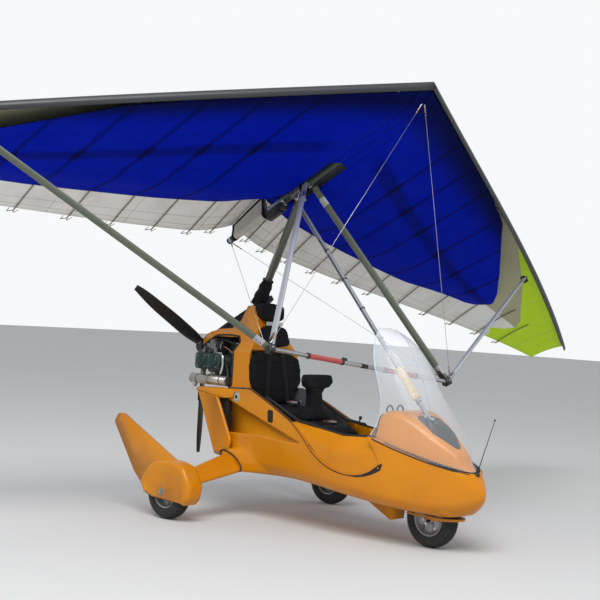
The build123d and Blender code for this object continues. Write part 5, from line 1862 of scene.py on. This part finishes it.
# Cockpit: the panel, the front strut with its foot and pad
dash = {
    "panelX": 1.388,
    # distance to port, height, radius
    "dials": [
        (-0.15, 0.812, 0.03), (-0.078, 0.826, 0.038), (0.0, 0.832, 0.038), (0.078, 0.826, 0.038),
        (0.15, 0.812, 0.03), (-0.115, 0.757, 0.022), (0.115, 0.757, 0.022),
    ],
    "strutFoot": (1.654, 0.0, 0.852),
    "strutHead": (0.31, 0.0, 2.361),
    "padFrom": 1.18,
    "padTo": 1.0,
    "padRadius": 0.033,
    # half of the dark insert's outline round the strut's foot, from its rear to its front
    "insert": [(1.6, 0.07), (1.64, 0.118), (1.78, 0.118), (1.9, 0.03)],
    "insertNose": (1.912, 0.0),
}

makeTubes()
makeBar()
makeKeel()
makeHangBlock()
makeWires()
makeMast()
print("rigging made")


def makePanel():
    dressed("instrument_panel", panelGrey, angle=30.0)
    bezels, faces, needles, screws, switches = news(5)
    rear = Vector((-1, 0, 0))
    for number, (y, z, radius) in enumerate(dash["dials"]):
        at = turnedTo((dash["panelX"], y, z), rear)
        flat = radius - 0.005
        addLathe(bezels, [
            (radius, 0.0), (radius, 0.005), (radius - 0.0015, 0.0065), (flat, 0.0065),
            (flat - 0.0005, 0.0035),
        ], at, 40)
        addLathe(faces, [(0.0001, 0.003), (flat, 0.003)], at, 40)
        for tick in range(12):
            spin = at @ Matrix.Rotation(math.tau * tick / 12, 4, "Z")
            addBox(needles, (0.004, 0.0009, 0.0006), spin @ shift(radius - 0.0095, 0, 0.0034))
        spin = at @ Matrix.Rotation(0.9 + number * 1.3, 4, "Z")
        addBox(needles, (radius * 0.62, 0.0014, 0.0008), spin @ shift(radius * 0.26, 0, 0.004))
        for u, v in circle(radius * 1.02, 4, 0.5):
            addScrew(screws, at @ Vector((u, v, 0.001)), rear, 0.0025, 0.002)
    piece("dialBezels", merged(bezels), plasticBlack)
    piece("dialFaces", merged(faces), dialFace)
    piece("dialNeedles", needles, needleWhite)
    piece("panelScrews", merged(screws), screwSteel)
    collar = [(0.0055, 0.0), (0.0055, 0.004), (0.0035, 0.0045), (0.0001, 0.0045)]
    for step in range(6):
        spot = Vector((dash["panelX"], -0.075 + 0.03 * step, 0.765))
        lean = Vector((0, 0, 0.004 if step % 2 else -0.004))
        addLathe(switches, collar, turnedTo(spot, rear), 16)
        addRod(switches, spot + rear * 0.003, spot + rear * 0.016 + lean, 0.0016, 0.0022, 10)
    piece("panelSwitches", merged(switches), screwSteel)
    # Rubber edge round the rear of the dash fairing
    rays = [Vector((0, math.cos(math.pi * step / 60), math.sin(math.pi * step / 60))) for step in range(61)]
    spots = [hit(dashSkin, Vector((1.384, 0, 0.74)) + ray * 0.6, -ray)[0] for ray in rays]
    tubePath("dashEdge", [spot for spot in spots if spot is not None], 0.006, rubberTrim, resolution=3)


def strutAt(z):
    head, foot = Vector(dash["strutHead"]), Vector(dash["strutFoot"])
    return head + (foot - head) * ((head.z - z) / (head.z - foot.z))


def makeStrutPad():
    # A foam sleeve with a sewn cover: quilted rings, gathered ends and four straps
    high, quilts = strutAt(dash["padFrom"] + 0.012), 4
    at, length = aimed(strutAt(dash["padTo"] - 0.012), high)
    cover, straps = news(2)
    rows, count, steps = [], 44, 40
    for part in (row / count for row in range(count + 1)):
        shrink = 0.01 * max(0.0, abs(part - 0.5) * 2 - 0.9) / 0.1
        offSeam = (part * quilts) % 1.0 - 0.5
        radius = dash["padRadius"] - 0.001 - shrink - 0.0022 * math.exp(-((offSeam / 0.1) ** 2))
        ring = []
        for a in (math.tau * step / steps for step in range(steps)):
            out = radius + 0.0012 * math.sin(9 * a + 5 * part) * math.exp(-((offSeam / 0.22) ** 2))
            ring.append(at @ Vector((out * math.cos(a), out * math.sin(a), part * length)))
        rows.append(ring)
    addSkin(cover, rows, closed=True, ends=2)
    made = subdivided(piece("strutPadCover", outward(cover), padFoam, angle=60.0))
    padded(made, 0.5, "strut_pad")
    radius = dash["padRadius"] - 0.003
    for part in (0.125, 0.375, 0.625, 0.875):
        spot = at @ Vector((0, 0, part * length))
        addBand(straps, radius - 0.002, radius + 0.0008, 0.004, aimed(spot, high)[0], 40)
    piece("strutPadStraps", merged(straps), paleWeb)


def onDash(x, y):
    return hit(dashSkin, (x, y, 1.3), (0, 0, -1))


def makeStrutFoot():
    # Dark insert on the dash round the strut's foot, its plate and bolts
    insert, plate, bolts = news(3)
    half = dash["insert"]
    outline = [(x, -y) for x, y in half] + [dash["insertNose"]] + list(reversed(half))
    spots = [onDash(*point)[0] for point in finer(outline + outline[:1], 0.03)[:-1]]
    ring = [spot + Vector((0, 0, 0.0012)) for spot in spots if spot is not None]
    middle = insert.verts.new(sum(ring, Vector()) / len(ring) + Vector((0, 0, 0.006)))
    edge = [insert.verts.new(spot) for spot in ring]
    for a, b in zip(edge, edge[1:] + edge[:1]):
        insert.faces.new((middle, a, b))
    bmesh.ops.subdivide_edges(insert, edges=insert.edges[:], cuts=3, use_grid_fill=True)
    for vert in insert.verts:
        spot = onDash(*vert.co.xy)[0]
        if spot is not None:
            vert.co.z = spot.z + 0.0016
    thicken(piece("footInsert", outward(insert), rubberTrim), 0.0014, 1.0)
    footX = dash["strutFoot"][0]
    base, rise = onDash(footX, 0.045)
    seat = turnedTo((footX, 0, base.z + 0.001), rise)
    addLathe(plate, [
        (0.03, 0.0), (0.056, 0.0), (0.056, 0.003), (0.054, 0.004), (0.034, 0.004), (0.0325, 0.016),
        (0.0305, 0.018)], seat, 48)
    for u, v in circle(0.045, 6, 0.5):
        addNut(bolts, seat @ Vector((u, v, 0.004)), rise, 0.0045, 0.004)
    piece("footPlate", merged(plate), nylon)
    piece("footBolts", merged(bolts), screwSteel)


def makeGrabLoops():
    # Two loops behind the dash, on its rear edge
    turns = [math.pi * (-0.15 + 1.3 * step / 20) for step in range(21)]
    for name, y in (("Outer", -0.118), ("Middle", -0.006)):
        tubePath("dashLoop" + name, [
            (1.392 - 0.004 * math.sin(a), y + 0.034 * math.cos(a), 0.894 + 0.04 * math.sin(a)) for a in turns
        ], 0.0065, nylon, resolution=3)


def makeAerial():
    dressed("aerial", nylon, angle=40.0)
    base = bmesh.new()
    at, length = aimed((2.066, 0, 0.54), (2.186, 0, 0.91))
    addLathe(base, [
        (0.024, -0.004), (0.024, 0.002), (0.018, 0.006), (0.012, 0.012), (0.01, 0.03), (0.0065, 0.036),
    ], at, 32)
    tip = ((0.006, -0.006), (0.0075, -0.003), (0.006, 0.001), (0.0001, 0.002))
    addLathe(base, [(radius, length + high) for radius, high in tip], at, 20)
    piece("aerialBase", merged(base), hoseRubber)


def inTub(middle, normal):
    # Cloth lining: the inward faces of the hull skin below the sill
    inner = Vector((middle.x, 0, 0.6)) - middle
    inside = normal.dot(inner) > 0 and abs(middle.y) < 0.332 and middle.z > 0.27
    return inside and -0.05 < middle.x < 2.0


def makeThrottle():
    # Hand throttle lever on the tub's side
    lever, knob = news(2)
    addBox(lever, (0.11, 0.016, 0.04), (0.79, 0.268, 0.735), 0.004)
    addRod(lever, (0.79, 0.258, 0.745), (0.805, 0.254, 0.782), 0.005, segments=14)
    piece("throttle", lever, nylon)
    addLathe(knob, [
        (0.0001, 0.016), (0.008, 0.015), (0.012, 0.01), (0.013, 0.002), (0.01, -0.008), (0.006, -0.012),
    ], aimed((0.8055, 0.254, 0.785), (0.82, 0.252, 0.85))[0], 24)
    piece("throttleKnob", merged(knob), nylon)


makePanel()
makeStrutPad()
makeStrutFoot()
makeGrabLoops()
makeAerial()
lined("hull_tub", liningGrey, inTub)
dressed("seat_frame", plasticBlack, angle=30.0)
makeThrottle()
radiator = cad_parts["radiator"].data.materials
radiator.clear()
radiator.append(plasticBlack)
print("cockpit made")
